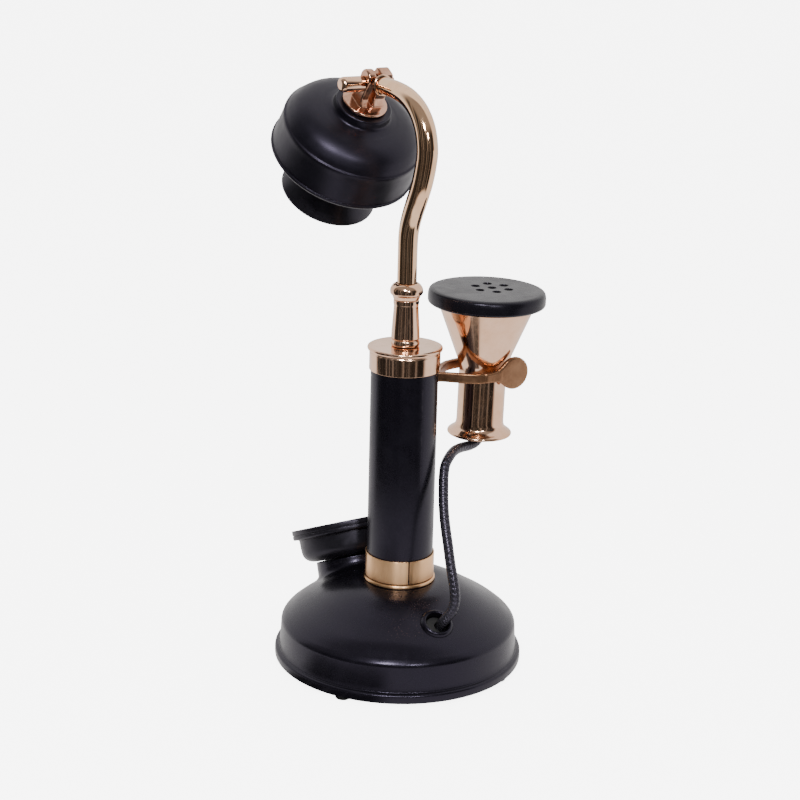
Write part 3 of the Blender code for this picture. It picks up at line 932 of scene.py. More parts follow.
def fused(name: str, parts: Sequence[Piece], voxel: float, smoothing: int) -> Piece:
    """Fuse overlapping shapes into one casting with soft inner corners.

    Args:
        name: The casting's name.
        parts: The closed shapes that make it up.
        voxel: The size of its detail, in millimetres.
        smoothing: How many times its surface is smoothed.

    Returns:
        The casting.
    """
    piece = joined(name, parts)
    apply_modifier(piece, "REMESH", mode="VOXEL", voxel_size=voxel * MM, use_smooth_shade=True)
    apply_modifier(piece, "SMOOTH", factor=0.5, iterations=smoothing)
    bpy.ops.object.shade_smooth()
    return piece


def dress(piece: Piece, material: Finish, body: str, slot: str,
          *replaced: str) -> Piece:
    """Give a new piece its finish, body and the nodes that it stands for.

    Args:
        piece: The object.
        material: Its finish.
        body: The body that it rides on.
        slot: Not used.
        replaced: The nodes it replaces.

    Returns:
        The same object.
    """
    piece.data.materials.clear()
    piece.data.materials.append(material)
    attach(piece, body)
    if replaced:
        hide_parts(*replaced)
    log.info("made %s on %s", piece.name, body)
    return piece


def redress(node: str, material: Finish) -> None:
    """Give a carried-over node a better finish.

    Args:
        node: The node's name.
        material: Its new finish.
    """
    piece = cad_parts[node]
    piece.data.materials.clear()
    piece.data.materials.append(material)
    log.info("refinished %s", node)


def at(radius: float, degrees: float, height: float = 0.0) -> Matrix:
    """A place on a circle about the Z axis, in millimetres."""
    angle = math.radians(degrees)
    return Matrix.Translation((radius * math.cos(angle), radius * math.sin(angle), height))


def facing(origin: Sequence[float], direction: Sequence[float]) -> Matrix:
    """A place at origin whose Z runs along direction, in millimetres."""
    turn = Vector((0, 0, 1)).rotation_difference(Vector(direction).normalized()).to_matrix().to_4x4()
    return Matrix.Translation(origin) @ turn


# ---- Base -------------------------------------------------------------------------------------------


@dataclass
class Base:
    """The round enamelled base with its dial neck, cord hole, feet and bottom plate."""

    enamel: Enamel = Enamel()
    cord_hole: tuple[float, float, float] = (5.3, 50.0, 41.2)
    cord_hole_axis: tuple[float, float, float] = (0.054, 0.512, 0.857)
    cord_entry: tuple[float, float, float] = (2.92, 51.19, 40.64)
    foot_circle: float = 68.0
    foot_angles: tuple[int, ...] = (30, 120, 210, 300)

    def shell(self, dial: Matrix) -> None:
        """Turn the shell, open its cord hole and add the dial's neck and the hole's lip.

        Args:
            dial: The dial's axis, in millimetres.
        """
        bead = rounded(((73.0, 3.1), (74.9, 3.3, 1.0), (75.0, 5.6, 1.2), (74.9, 8.6, 2.4), (72.4, 9.3, 0.5),
                        (72.0, 11.5, 1.0), (71.5, 18.0)), 5)
        skirt = rounded(((71.5, 18.0), (71.1, 25.6, 2.2), (68.9, 28.2)), 6)
        dome = flow(((68.9, 28.2), (67.4, 29.5), (64.4, 32.0), (61.0, 34.5), (57.0, 37.0), (52.0, 40.0),
                     (46.0, 43.6), (40.0, 46.9), (34.0, 49.6), (28.0, 51.3), (24.0, 51.9), (21.0, 52.0)), 4)
        inside = [
            (14.7, 52.0), (14.7, 48.7), (28.0, 48.0), (40.0, 43.6), (52.0, 36.7), (61.0, 31.2),
            (66.3, 26.4), (68.2, 22.0), (68.8, 10.0), (68.2, 6.4), (66.5, 5.7), (54.0, 5.7), (54.0, 3.1)
        ]
        shell = turned("base_casting", bead + skirt[1:] + dome[1:] + inside, closed=True, segments=160)
        hole = facing(self.cord_hole, self.cord_hole_axis)
        cutters = [turned("tool_hole", ((7.0, -9.0), (7.0, 8.0)), hole, segments=48)]
        cutters.append(turned("tool_socket", ((18.0, -60.0), (18.0, -27.0)), dial, segments=48))
        carve(shell, cutters)
        dress(shell, self.enamel.make("base_enamel"), "base", "enamel_black", "base_shell")
        outline = [(25.2, -36.0), (24.9, -32.0), (24.7, -29.0), (24.5, -25.0)]
        edge = rounded(((24.5, -25.0), (24.4, -22.7, 0.6), (19.4, -22.7)), 4)
        neck = turned("dial_neck", outline + edge[1:] + [(19.4, -31.2), (17.8, -36.0)], dial, closed=True,
                      segments=128)
        dress(neck, self.enamel.make("neck_enamel"), "base", "enamel_black")
        self.fillet(dial, dome)
        lip = flow(((11.4, -1.6), (10.2, -0.9), (9.7, 0.3), (9.0, 1.4), (8.1, 1.9), (7.2, 1.6), (6.7, 0.6),
                    (6.6, -0.6)), 5)
        collar = turned("cord_hole_lip", lip + [(6.6, -4.4), (7.2, -4.4), (7.4, -2.6), (11.4, -2.6)], hole,
                        closed=True, segments=72)
        dress(collar, self.enamel.make("lip_enamel"), "base", "enamel_black")

    def fillet(self, dial: Matrix, dome: Sequence[Station]) -> None:
        """Fill the corner where the dial's neck rises out of the dome, as the casting does.

        Args:
            dial: The dial's axis, in millimetres.
            dome: The dome's stations, from its edge to its middle.
        """
        around, section = 144, 12
        deselect()
        bpy.ops.mesh.primitive_torus_add(major_segments=around, minor_segments=section, major_radius=0.025,
                                         minor_radius=0.002)
        fillet = bpy.context.object
        for step in range(around):
            ring = self.fillet_section(dial, dome, math.tau * step / around, section)
            for index, place in enumerate(ring):
                fillet.data.vertices[step * section + index].co = place * MM
        pick(fillet)
        bpy.ops.object.mode_set(mode="EDIT")
        seal()
        settle(fillet, "neck_fillet", angle=60.0)
        dress(fillet, self.enamel.make("fillet_enamel"), "base", "enamel_black")

    @staticmethod
    def fillet_section(dial: Matrix, dome: Sequence[Station], angle: float, count: int) -> list[Vector]:
        """Find one section of the fillet.

        Args:
            dial: The dial's axis, in millimetres.
            dome: The dome's stations, from its edge to its middle.
            angle: Where on the neck the section lies, in radians.
            count: How many points it has.

        Returns:
            The section's points, round the outside and back inside the casting.
        """
        def dome_height(radius: float) -> float:
            """Height of the dome at a radius, falling steeply beyond its edge."""
            if radius > dome[0][0]:
                return dome[0][1] - (radius - dome[0][0]) * 5.0
            for (outer, low), (inner, high) in zip(dome, dome[1:]):
                if radius >= inner:
                    return low + (high - low) * (outer - radius) / (outer - inner)
            return dome[-1][1]

        def on_neck(height: float) -> Vector:
            """Place on the neck at a height along the dial's axis."""
            return dial @ Vector((24.6 * math.cos(angle), 24.6 * math.sin(angle), height))

        low, high = -46.0, -22.8
        for _ in range(30):
            middle = (low + high) / 2
            place = on_neck(middle)
            if place.z > dome_height(place.xy.length):
                high = middle
            else:
                low = middle
        corner = on_neck(high)
        size = 5.5 * max(0.08, min(1.0, (70.0 - corner.xy.length) / 14.0))
        outward = on_neck(high) - dial @ Vector((0, 0, high))
        outward.z = 0.0
        outward.normalize()
        top = on_neck(min(high + size, -23.4))
        foot = corner + outward * size
        foot.z = dome_height(foot.xy.length)
        curve = count - 3
        points = []
        for index in range(curve):
            t = index / (curve - 1)
            points.append(top * (1 - t) ** 2 + corner * 2 * t * (1 - t) + foot * t * t)
        down = Vector((0, 0, -1.0))
        return points + [foot + down, corner + down - outward, top - outward]

    def fittings(self) -> None:
        """Turn the feet and the cord's bush, and finish the plate, screws and hidden pieces."""
        rubber = Rubber()
        for number, angle in enumerate(self.foot_angles, 1):
            outline = rounded(
                ((0.5, 0.25), (2.6, 0.25, 0.2), (2.9, 0.0, 0.2), (4.1, 0.0, 0.4), (4.6, 0.7, 0.4),
                 (4.6, 2.8)), 3
            )
            foot = turned(f"foot_pad_{number}", outline, at(self.foot_circle, angle), segments=40)
            dress(foot, rubber.make(f"foot_rubber_{number}"), "base", "rubber_black", f"foot_{number}")
            redress(f"base_screw_{number}", Metal.STEEL.make(f"screw_steel_{number}"))
        outline = rounded(((1.0, -5.0), (6.3, -5.0, 0.2), (6.3, -2.0, 0.8), (1.0, -2.0)), 4)
        bush = turned("cord_grommet", outline, facing(self.cord_hole, self.cord_hole_axis), segments=48)
        entry = facing(self.cord_entry, self.cord_hole_axis)
        carve(bush, [turned("tool_bush", ((3.5, -8.0), (3.5, -2.8), (4.3, -1.0)), entry, segments=48)])
        dress(bush, rubber.make("grommet_rubber"), "base", "rubber_black", "cord_bush")
        redress("base_plate", Metal.DARK_STEEL.make("plate_steel"))
        redress("ringer_board", Board().make("board_lacquer"))
        redress("ringer_sounder", Moulded().make("sounder_plastic"))
        for node in ("board_pillar_1", "board_pillar_2", "bush_nut", "column_bush"):
            redress(node, Metal.STEEL.make(node + "_steel"))


# ---- Column and arm ---------------------------------------------------------------------------------


@dataclass
class Column:
    """The enamelled column with its brass rings and cap, and the post on top."""

    radius: float = 19.9
    bore: float = 17.6
    bottom: float = 54.5
    top: float = 193.0
    slit_angle: float = 73.0

    def tube(self) -> None:
        """Turn the tube and mill the fork's slot."""
        outline = rounded(
            ((self.bore, self.bottom), (self.radius, self.bottom, 0.3), (self.radius, self.top, 0.3),
            (self.bore, self.top)), 3
        )
        column = turned("column_barrel", outline, closed=True, segments=128)
        slot = prism("tool_slot", ((-24, -3.7), (-12, -3.7), (-12, 3.7), (-24, 3.7)), 171.6, 182.4, bevel=0.5)
        carve(column, [slot])
        dress(column, Enamel(smooth=0.25, dull=0.36, dust=0.3).make("column_enamel"), "base", "enamel_black",
              "column_tube")

    def rings(self) -> None:
        """Turn the split ring and the seat ring below it."""
        outline = rounded(((20.2, 55.0), (20.8, 55.0, 0.15), (20.8, 69.2, 0.15), (20.2, 69.2)), 3)
        band = turned("split_ring", outline, closed=True, segments=128)
        turn = Matrix.Rotation(math.radians(self.slit_angle), 4, "Z")
        carve(band, [prism("tool_slit", ((15, -0.4), (25, -0.4), (25, 0.4), (15, 0.4)), 50, 75, turn)])
        dress(band, Metal.RING.make("split_ring_brass"), "base", "brass_polished", "column_ring")
        outline = rounded(
            ((18.0, 52.3), (21.5, 52.3, 0.4), (21.6, 53.3, 0.5), (21.2, 54.2, 0.4), (18.0, 54.2)), 4
        )
        seat = turned("seat_washer", outline, closed=True, segments=128)
        dress(seat, Metal.RING.make("seat_brass"), "base", "brass_polished", "seat_ring")

    def cap(self) -> None:
        """Turn the cap: a skirt, a groove and a flat rim."""
        outline = rounded(((20.2, 183.0), (20.9, 183.0, 0.25), (20.9, 193.2, 0.5), (20.45, 194.0, 0.3),
                           (20.6, 194.6, 0.3), (21.9, 194.9, 0.5), (22.2, 195.9, 0.6), (21.9, 196.8, 0.5),
                           (20.6, 197.0, 0.6), (5.5, 197.0), (5.5, 193.8), (20.2, 193.8)), 5)
        cap = turned("column_crown", outline, closed=True, segments=128)
        dress(cap, Metal.MIRROR.make("cap_brass"), "base", "brass_polished", "column_cap")
        redress("post_nut", Metal.STEEL.make("post_nut_steel"))

    def post(self) -> None:
        """Turn the tapered post and the bead collar on it."""
        outline = rounded(
            ((5.1, 185.0), (5.1, 197.3), (8.1, 197.3, 0.5), (8.5, 198.6, 0.9), (8.2, 200.4, 0.4),
             (7.9, 201.0, 0.3), (8.4, 201.7, 0.5), (8.2, 206.0, 3.0), (7.2, 221.2, 0.6), (7.5, 222.4, 0.4),
             (7.5, 224.4, 0.2), (7.1, 224.7)), 4
        )
        post = turned("tapered_post", outline, segments=96)
        dress(post, Metal.MIRROR.make("post_brass"), "base", "brass_polished", "post")
        band = rounded(((1.0, 224.9), (7.5, 224.9, 0.3), (8.3, 227.2, 0.3), (8.9, 227.6)), 4)
        bead = flow(((8.9, 227.6), (9.5, 228.6), (9.65, 229.9), (9.4, 231.4), (8.5, 233.0), (7.3, 234.1),
                     (6.3, 234.5)), 5)
        collar = turned("bead_collar", band + bead[1:] + [(6.15, 230.8), (1.0, 230.8)], segments=96)
        dress(collar, Metal.MIRROR.make("collar_brass"), "base", "brass_polished", "arm_collar")


@dataclass
class Arm:
    """The S-shaped brass arm and the knuckle at its end."""

    pivot: tuple[float, float, float] = PIVOT
    route: tuple[tuple[float, float], ...] = (
        (0, 232.0), (0, 236.0), (0, 245), (0, 254), (0.3, 262), (1.8, 269.3), (4.9, 277), (8.8, 285),
        (13, 294), (16.2, 304.5), (17.4, 314), (14.5, 325), (7.5, 334), (-3, 340), (-15.5, 342.9),
        (-29.0, 344.0)
    )
    radii: tuple[float, ...] = (
        5.6, 5.7, 5.7, 5.7, 5.8, 5.9, 6.0, 6.1, 6.1, 6.1, 6.1, 6.0, 5.8, 5.5, 5.2, 4.9
    )

    def tube(self) -> None:
        """Sweep the polished tube."""
        tube = swept("swan_neck", [(0, y, z) for y, z in self.route], self.radii, steps=10, sides=14)
        dress(tube, Metal.TUBE.make("swan_neck_brass"), "base", "brass_polished", "gooseneck")

    def knuckle(self) -> None:
        """Turn the end ring, and fuse the tongue and the eye that the head hangs from."""
        end = facing(self.pivot, (0, 1, 0))
        outline = rounded(
            ((4.6, 10.7), (5.6, 10.5, 0.5), (6.3, 11.1, 0.6), (6.3, 11.7, 0.4), (5.4, 12.2)), 4
        )
        ring = turned("knuckle_ring", outline, end, segments=64)
        across = facing(self.pivot, (1, 0, 0))
        outline = rounded(((4.9, -1.3), (5.4, -1.3, 0.3), (5.4, 1.3, 0.3), (4.9, 1.3)), 3)
        eye = turned("tool_eye", outline, across)
        stem = ((-1.3, -42), (1.3, -42), (1.3, -36), (1.6, -33), (3.2, -30.8), (-3.2, -30.8), (-1.6, -33),
                (-1.3, -36))
        tongue = prism("tool_tongue", stem, 339.4, 348.4, bevel=0.3)
        casting = fused("arm_eye", [eye, tongue], 0.25, 3)
        dress(casting, Metal.FITTING.make("eye_brass"), "base", "brass_polished", "arm_knuckle")
        dress(ring, Metal.MIRROR.make("end_ring_brass"), "base", "brass_polished")


# ---- Transmitter ------------------------------------------------------------------------------------


@dataclass
class Transmitter:
    """The tilting head: bracket, bolt, shell, face plate and mouthpiece."""

    pivot: tuple[float, float, float] = PIVOT
    drop: float = 55.4

    def frame(self) -> Matrix:
        """The head's place: Z along its axis from the pivot, X across."""
        angle = math.radians(self.drop)
        forward = Vector((0, -math.cos(angle), -math.sin(angle)))
        across = Vector((1, 0, 0))
        turn = Matrix((across, forward.cross(across), forward)).transposed().to_4x4()
        return Matrix.Translation(self.pivot) @ turn

    def bracket(self) -> None:
        """Fuse the disc and the two ears, then add the bolt and the long thumb nut."""
        place = self.frame()
        outline = rounded(((12.0, 13.3), (13.4, 13.3, 0.5), (13.7, 14.2, 0.6), (13.3, 15.3)), 4)
        disc = turned("tool_disc", outline, place)
        parts = [disc]
        side = place @ Matrix.Rotation(math.radians(90), 4, "Y")
        foot = [(-2, 5.0), (-8, 4.8), (-11.5, 5.6), (-13.6, 6.4), (-13.6, -6.4), (-11.5, -5.6), (-8, -4.8),
                (-2, -5.0)]
        arc = [at(5.4, a).translation for a in range(-90, 91, 10)]
        round_top = [(4.0 + spot.x, spot.y) for spot in arc]
        square_top = [(5.4, -5.2), (7.4, -4.8), (8.7, -3.5), (9.0, -2.0), (9.0, 2.0), (8.7, 3.5), (7.4, 4.8),
                      (5.4, 5.2)]
        parts.append(prism("tool_ear_1", round_top + foot, 1.6, 6.8, side, bevel=1.0))
        parts.append(prism("tool_ear_2", square_top + foot, -9.4, -1.6, side, bevel=0.9))
        casting = fused("ear_bracket", parts, 0.3, 4)
        dress(casting, Metal.FITTING.make("bracket_brass"), "head", "brass_polished", "head_bracket")
        across = facing(self.pivot, (1, 0, 0))
        outline = rounded(((1.0, -13.2), (3.4, -13.2, 0.8), (4.4, -12.2, 0.7), (4.4, -9.7, 0.2), (2.2, -9.7),
                           (2.2, 17.0)), 4)
        bolt = turned("tilt_bolt", outline, across, segments=48)
        dress(bolt, Metal.FITTING.make("bolt_brass", across), "head", "brass_polished", "pivot_bolt")
        outline = [(2.4, 17.4), (2.4, 7.1)] + rounded(((2.4, 7.1), (4.5, 7.1, 0.3), (4.5, 20.4, 1.4),
                                                       (3.2, 21.9, 1.0), (0.6, 22.0)), 5)[1:]
        nut = turned("long_thumb_nut", outline, across, segments=56)
        dress(nut, Metal.MIRROR.make("nut_brass", across), "head", "brass_polished", "thumb_nut")

    def shell(self) -> None:
        """Turn the domed shell and the face plate."""
        place = self.frame()
        boss = rounded(
            ((15.9, 15.8), (16.5, 15.7, 0.3), (17.1, 16.3, 0.5), (17.6, 20.9, 1.7), (22.0, 22.1)), 6
        )
        dome = flow(((22.0, 22.1), (25.0, 22.6), (30.0, 23.8), (34.0, 25.6), (37.4, 28.2), (40.1, 31.7),
                     (41.5, 34.2)), 6)
        crease = rounded(
            ((41.5, 34.2), (41.95, 35.05, 0.6), (42.85, 35.55, 0.5), (43.1, 37.0, 0.7), (43.0, 40.0)), 5
        )
        skirt = flow(((43.0, 40.0), (43.15, 44.0), (43.6, 51.0), (44.0, 55.4)), 4)
        rim = rounded(
            ((44.0, 55.4), (44.05, 55.9, 0.15), (44.75, 56.1, 0.25), (44.85, 57.5, 0.4), (44.1, 58.4)), 4
        )
        inside = [
            (41.2, 58.4), (41.0, 44.0), (40.6, 39.0), (38.6, 34.4), (35.6, 30.8), (31.0, 27.6),
            (25.0, 25.4), (18.0, 24.2), (14.0, 19.8), (4.0, 19.6), (4.0, 15.7)
        ]
        outline = boss + dome[1:] + crease[1:] + skirt[1:] + rim[1:] + inside
        shell = turned("head_dome", outline, place, closed=True, segments=144)
        dress(shell, Enamel(smooth=0.28, dull=0.40, dust=0.25).make("head_enamel"), "head", "enamel_black",
              "head_shell")
        front = flow(((40.2, 59.3), (36.0, 60.2), (24.0, 61.6), (15.0, 62.1)), 5)
        face = [(14.4, 57.0), (40.8, 57.0), (40.8, 58.9)] + front + [(14.4, 62.0)]
        plate = turned("face_cover", face, place, closed=True, segments=128)
        dress(plate, Moulded().make("face_ebonite", place), "head", "plastic_black", "face_plate")

    def mouthpiece(self) -> None:
        """Turn the flared mouthpiece and drill its grille."""
        place = self.frame()
        outer = flow(((14.0, 63.0), (15.2, 66.0), (18.6, 71.0), (23.2, 77.0), (27.4, 82.6)), 5)
        lip = flow(((28.9, 84.8), (29.6, 86.2), (29.2, 87.2), (28.2, 87.1), (27.2, 86.2)), 4)
        inner = flow(((24.8, 82.6), (20.6, 76.6), (16.0, 70.4), (12.6, 65.6), (11.0, 62.4)), 5)
        outline = [(10.2, 57.6), (14.0, 57.6)] + outer + lip + inner
        horn = turned("flared_mouthpiece", outline, place, closed=True, segments=128)
        dress(horn, Moulded(smooth=0.26, dull=0.4).make("mouthpiece_ebonite", place), "head", "plastic_black",
              "mouthpiece")
        outline = rounded(((9.0, 60.4), (9.8, 60.4, 0.2), (9.8, 61.6, 0.3), (8.8, 61.8)), 3)
        grille = turned("sound_grille", outline, place, segments=72)
        drills = [(0.0, 0.0)] + [(3.4, 60.0 * step) for step in range(6)]
        drills += [(6.8, 30.0 * step) for step in range(12)]
        tools = [turned(f"tool_drill_{n}", ((0.8, 59.0), (0.8, 63.0)), place @ at(radius, angle), segments=16)
                 for n, (radius, angle) in enumerate(drills)]
        carve(grille, tools)
        dress(grille, Metal.MIRROR.make("grille_brass", place), "head", "brass_polished", "mouth_grille")
        redress("transmitter_capsule", Metal.STEEL.make("capsule_steel", place))
        redress("capsule_bridge", Metal.STEEL.make("bridge_steel", place))


# ---- Hook -------------------------------------------------------------------------------------------


@dataclass
class Hook:
    """The forked lever that the receiver hangs on."""

    low: float = 172.4
    high: float = 178.4
    paddle_radius: float = 9.9

    def fork(self) -> None:
        """Fuse the stem, the two prongs, the round paddles and the inner lever into one casting."""
        prongs = []
        for side in (1, -1):
            line = smooth_path([(-19.0, 1.0 * side, 0), (-24.0, 2.4 * side, 0), (-29.0, 6.6 * side, 0),
                                (-34.2, 11.8 * side, 0), (-40.0, 16.0 * side, 0), (-47.0, 17.6 * side, 0),
                                (-53.0, 18.1 * side, 0), (-57.0, 18.2 * side, 0)], 6)
            prongs.append(self.bar(f"tool_prong_{side}", line))
            prongs.append(self.spoon(side))
        stem = prism("tool_stem", ((6.4, -2.9), (6.4, 2.9), (-25.0, 2.9), (-25.0, -2.9)), self.low, self.high,
                     bevel=0.5)
        hub = turned("tool_hub", ((4.6, -2.8), (4.6, 2.8)), facing((3, 0, 174), (0, 1, 0)), segments=48)
        tail = prism("tool_tail", ((1.2, -2.7), (4.4, -2.7), (4.4, 2.7), (1.2, 2.7)), 150.0, 171.0, bevel=0.4)
        fork = fused("receiver_fork", [stem, hub, tail] + prongs, 0.42, 5)
        dress(fork, Metal.FORK.make("fork_brass"), "hook", "brass_dull", "hook_fork")

    def spoon(self, side: int) -> Piece:
        """Cut the end of a prong, where it widens into its round paddle.

        Args:
            side: 1 for the prong at the back, -1 for the one at the front.

        Returns:
            The blank, standing upright.
        """
        over = [(-45.0, 178.3), (-50.0, 178.5), (-53.5, 179.0), (-56.4, 180.6)]
        rim = [at(self.paddle_radius, a).translation for a in range(45, 316, 9)]
        disc = [(-66.0 + spot.x, 176.2 + spot.y) for spot in rim]
        under = [(-56.4, 171.2), (-53.5, 172.1), (-50.0, 172.4), (-45.0, 172.5)]
        upright = Matrix.Rotation(math.radians(90), 4, "X")
        middle = -18.15 * side
        outline = over + disc + under
        return prism(f"tool_spoon_{side}", outline, middle - 1.5, middle + 1.5, upright, bevel=0.8)

    def bar(self, name: str, line: Sequence[Vector]) -> Piece:
        """Draw one prong: a flat bar that follows a line seen from above.

        Args:
            name: The bar's name.
            line: The bar's middle, in millimetres.

        Returns:
            The bar.
        """
        left, right = [], []
        for index, here in enumerate(line):
            ahead = (line[min(index + 1, len(line) - 1)] - line[max(index - 1, 0)]).normalized()
            side = Vector((-ahead.y, ahead.x, 0)) * 1.6
            left.append(((here + side).x, (here + side).y))
            right.append(((here - side).x, (here - side).y))
        return prism(name, left + right[::-1], self.low, self.high, bevel=0.7)

    def inner_pieces(self) -> None:
        """Finish the pieces hidden in the column."""
        for node in ("hook_pin", "hook_bracket"):
            redress(node, Metal.STEEL.make(node + "_steel"))
        redress("switch_contacts", Moulded(colour=(0.08, 0.03, 0.015)).make("contact_plastic"))


# ---- Receiver ---------------------------------------------------------------------------------------


@dataclass
class Receiver:
    """The receiver: a brass bell with its tail plug and a black ear cap."""

    origin: tuple[float, float, float] = (-56.2, 0, 178)
    lean: float = 0.6
    tip: float = 1.0
    hole_circle: float = 10.2

    def frame(self) -> Matrix:
        """The receiver's place: Z along its axis, 0 where the cone starts."""
        lean = Matrix.Rotation(math.radians(-self.lean), 4, "Y")
        return Matrix.Translation(self.origin) @ Matrix.Rotation(math.radians(-self.tip), 4, "X") @ lean

    def bell(self) -> None:
        """Turn the bell and its tail plug."""
        place = self.frame()
        flange = flow(
            ((18.3, -42.95), (19.2, -42.7), (19.5, -42.0), (19.1, -41.1), (17.0, -39.6), (15.2, -37.9),
             (14.45, -35.6), (14.3, -33.0)), 5
        )
        cone = rounded(((14.3, -33.0), (14.3, 0.4, 2.2), (28.8, 37.4, 0.4), (28.8, 38.3)), 6)
        inside = [
            (27.6, 38.3), (24.4, 30.0), (20.4, 20.0), (16.8, 10.6), (14.2, 3.4), (13.0, 0.8), (13.0, -35.0),
            (13.4, -37.4), (15.2, -39.6), (16.4, -41.8), (17.4, -42.8)
        ]
        bell = turned("receiver_horn", flange + cone[1:] + inside, place, closed=True, segments=144)
        dress(bell, Metal.MIRROR.make("horn_brass", place), "receiver", "brass_polished", "receiver_bell")
        outline = rounded(((3.3, -42.2), (15.4, -42.4, 0.4), (14.6, -39.9), (12.7, -37.6), (12.7, -33.0),
                           (3.3, -33.0)), 3)
        plug = turned("tail_plug", outline, place, closed=True, segments=72)
        dress(plug, Moulded().make("plug_ebonite", place), "receiver", "plastic_black", "receiver_plug")

    def ear_cap(self) -> None:
        """Turn the ear cap and drill its sound holes."""
        place = self.frame()
        side = rounded(
            ((29.4, 38.6), (29.4, 37.8, 0.2), (33.6, 37.8, 1.2), (35.3, 39.0, 1.4), (35.35, 43.8, 1.6),
             (34.6, 46.3, 1.2), (32.6, 47.05, 1.0), (27.0, 47.1)), 6
        )
        outline = [(0.4, 43.4), (27.0, 43.4), (27.0, 38.6)] + side + [(0.4, 46.9)]
        cap = turned("listening_cap", outline, place, segments=144)
        middle = place @ Matrix.Translation((-4.4, -1.5, 0))
        spots = [middle] + [middle @ at(self.hole_circle, 191 + 60 * step) for step in range(6)]
        drill = ((2.3, 42.0), (2.35, 46.3), (2.9, 47.0), (3.1, 49.0))
        tools = [turned(f"tool_sound_hole_{n}", drill, spot, segments=32) for n, spot in enumerate(spots)]
        carve(cap, tools)
        ebonite = Moulded(colour=(0.005, 0.0045, 0.0065), smooth=0.22, dull=0.34, sheen=0.24)
        dress(cap, ebonite.make("cap_ebonite", place), "receiver", "plastic_black", "ear_cap")
        for node in ("receiver_diaphragm", "receiver_magnet", "receiver_stem"):
            redress(node, Metal.DARK_STEEL.make(node + "_steel", place))


# ---- Cord -------------------------------------------------------------------------------------------


@dataclass
class ReceiverCord:
    """The short braided cord from the receiver's tail to the base."""

    diameter: float = 6.0
    route: tuple[tuple[float, float, float], ...] = (
        (-55.8, -0.78, 138.0), (-55.76, -0.75, 135.0), (-55.7, -0.7, 132.8), (-54.3, 0.1, 130.7),
        (-50.6, 1.4, 129.4), (-45.5, 3.2, 129.2), (-38, 6, 130.0), (-30, 10.5, 130.4), (-23.4, 15, 128.8),
        (-18.6, 18.2, 125.2), (-15.9, 21, 119.6), (-13.7, 24.4, 113.0), (-11.6, 28, 106.4), (-9.8, 32, 99.2),
        (-8.4, 36.2, 92.0), (-6.9, 41, 84.8), (-5.8, 45, 77.4), (-5.0, 49, 69.8), (-4.6, 52.4, 62.8),
        (-3.8, 54.6, 56.0), (-1.6, 55.6, 50.4), (0.9, 55.0, 47.0), (2.5, 53.4, 44.2), (2.92, 51.19, 40.64),
        (2.79, 49.9, 38.5), (2.65, 48.6, 36.35), (2.49, 47.1, 33.8),
    )

    def lay(self) -> None:
        """Sweep the cord, map its braid and declare its real length."""
        cord = swept("listening_cord", self.route, [self.diameter / 2] * len(self.route), steps=6, sides=8)
        line = smooth_path(self.route, 6)
        length = sum((b - a).length for a, b in zip(line, line[1:])) * MM
        cord.data.materials.append(BraidedCord().make("cord_braid"))
        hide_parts("receiver_cord")
        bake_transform(cord)
        log.info("cord is %.1f mm long", length / MM)


# ---- Dial -------------------------------------------------------------------------------------------


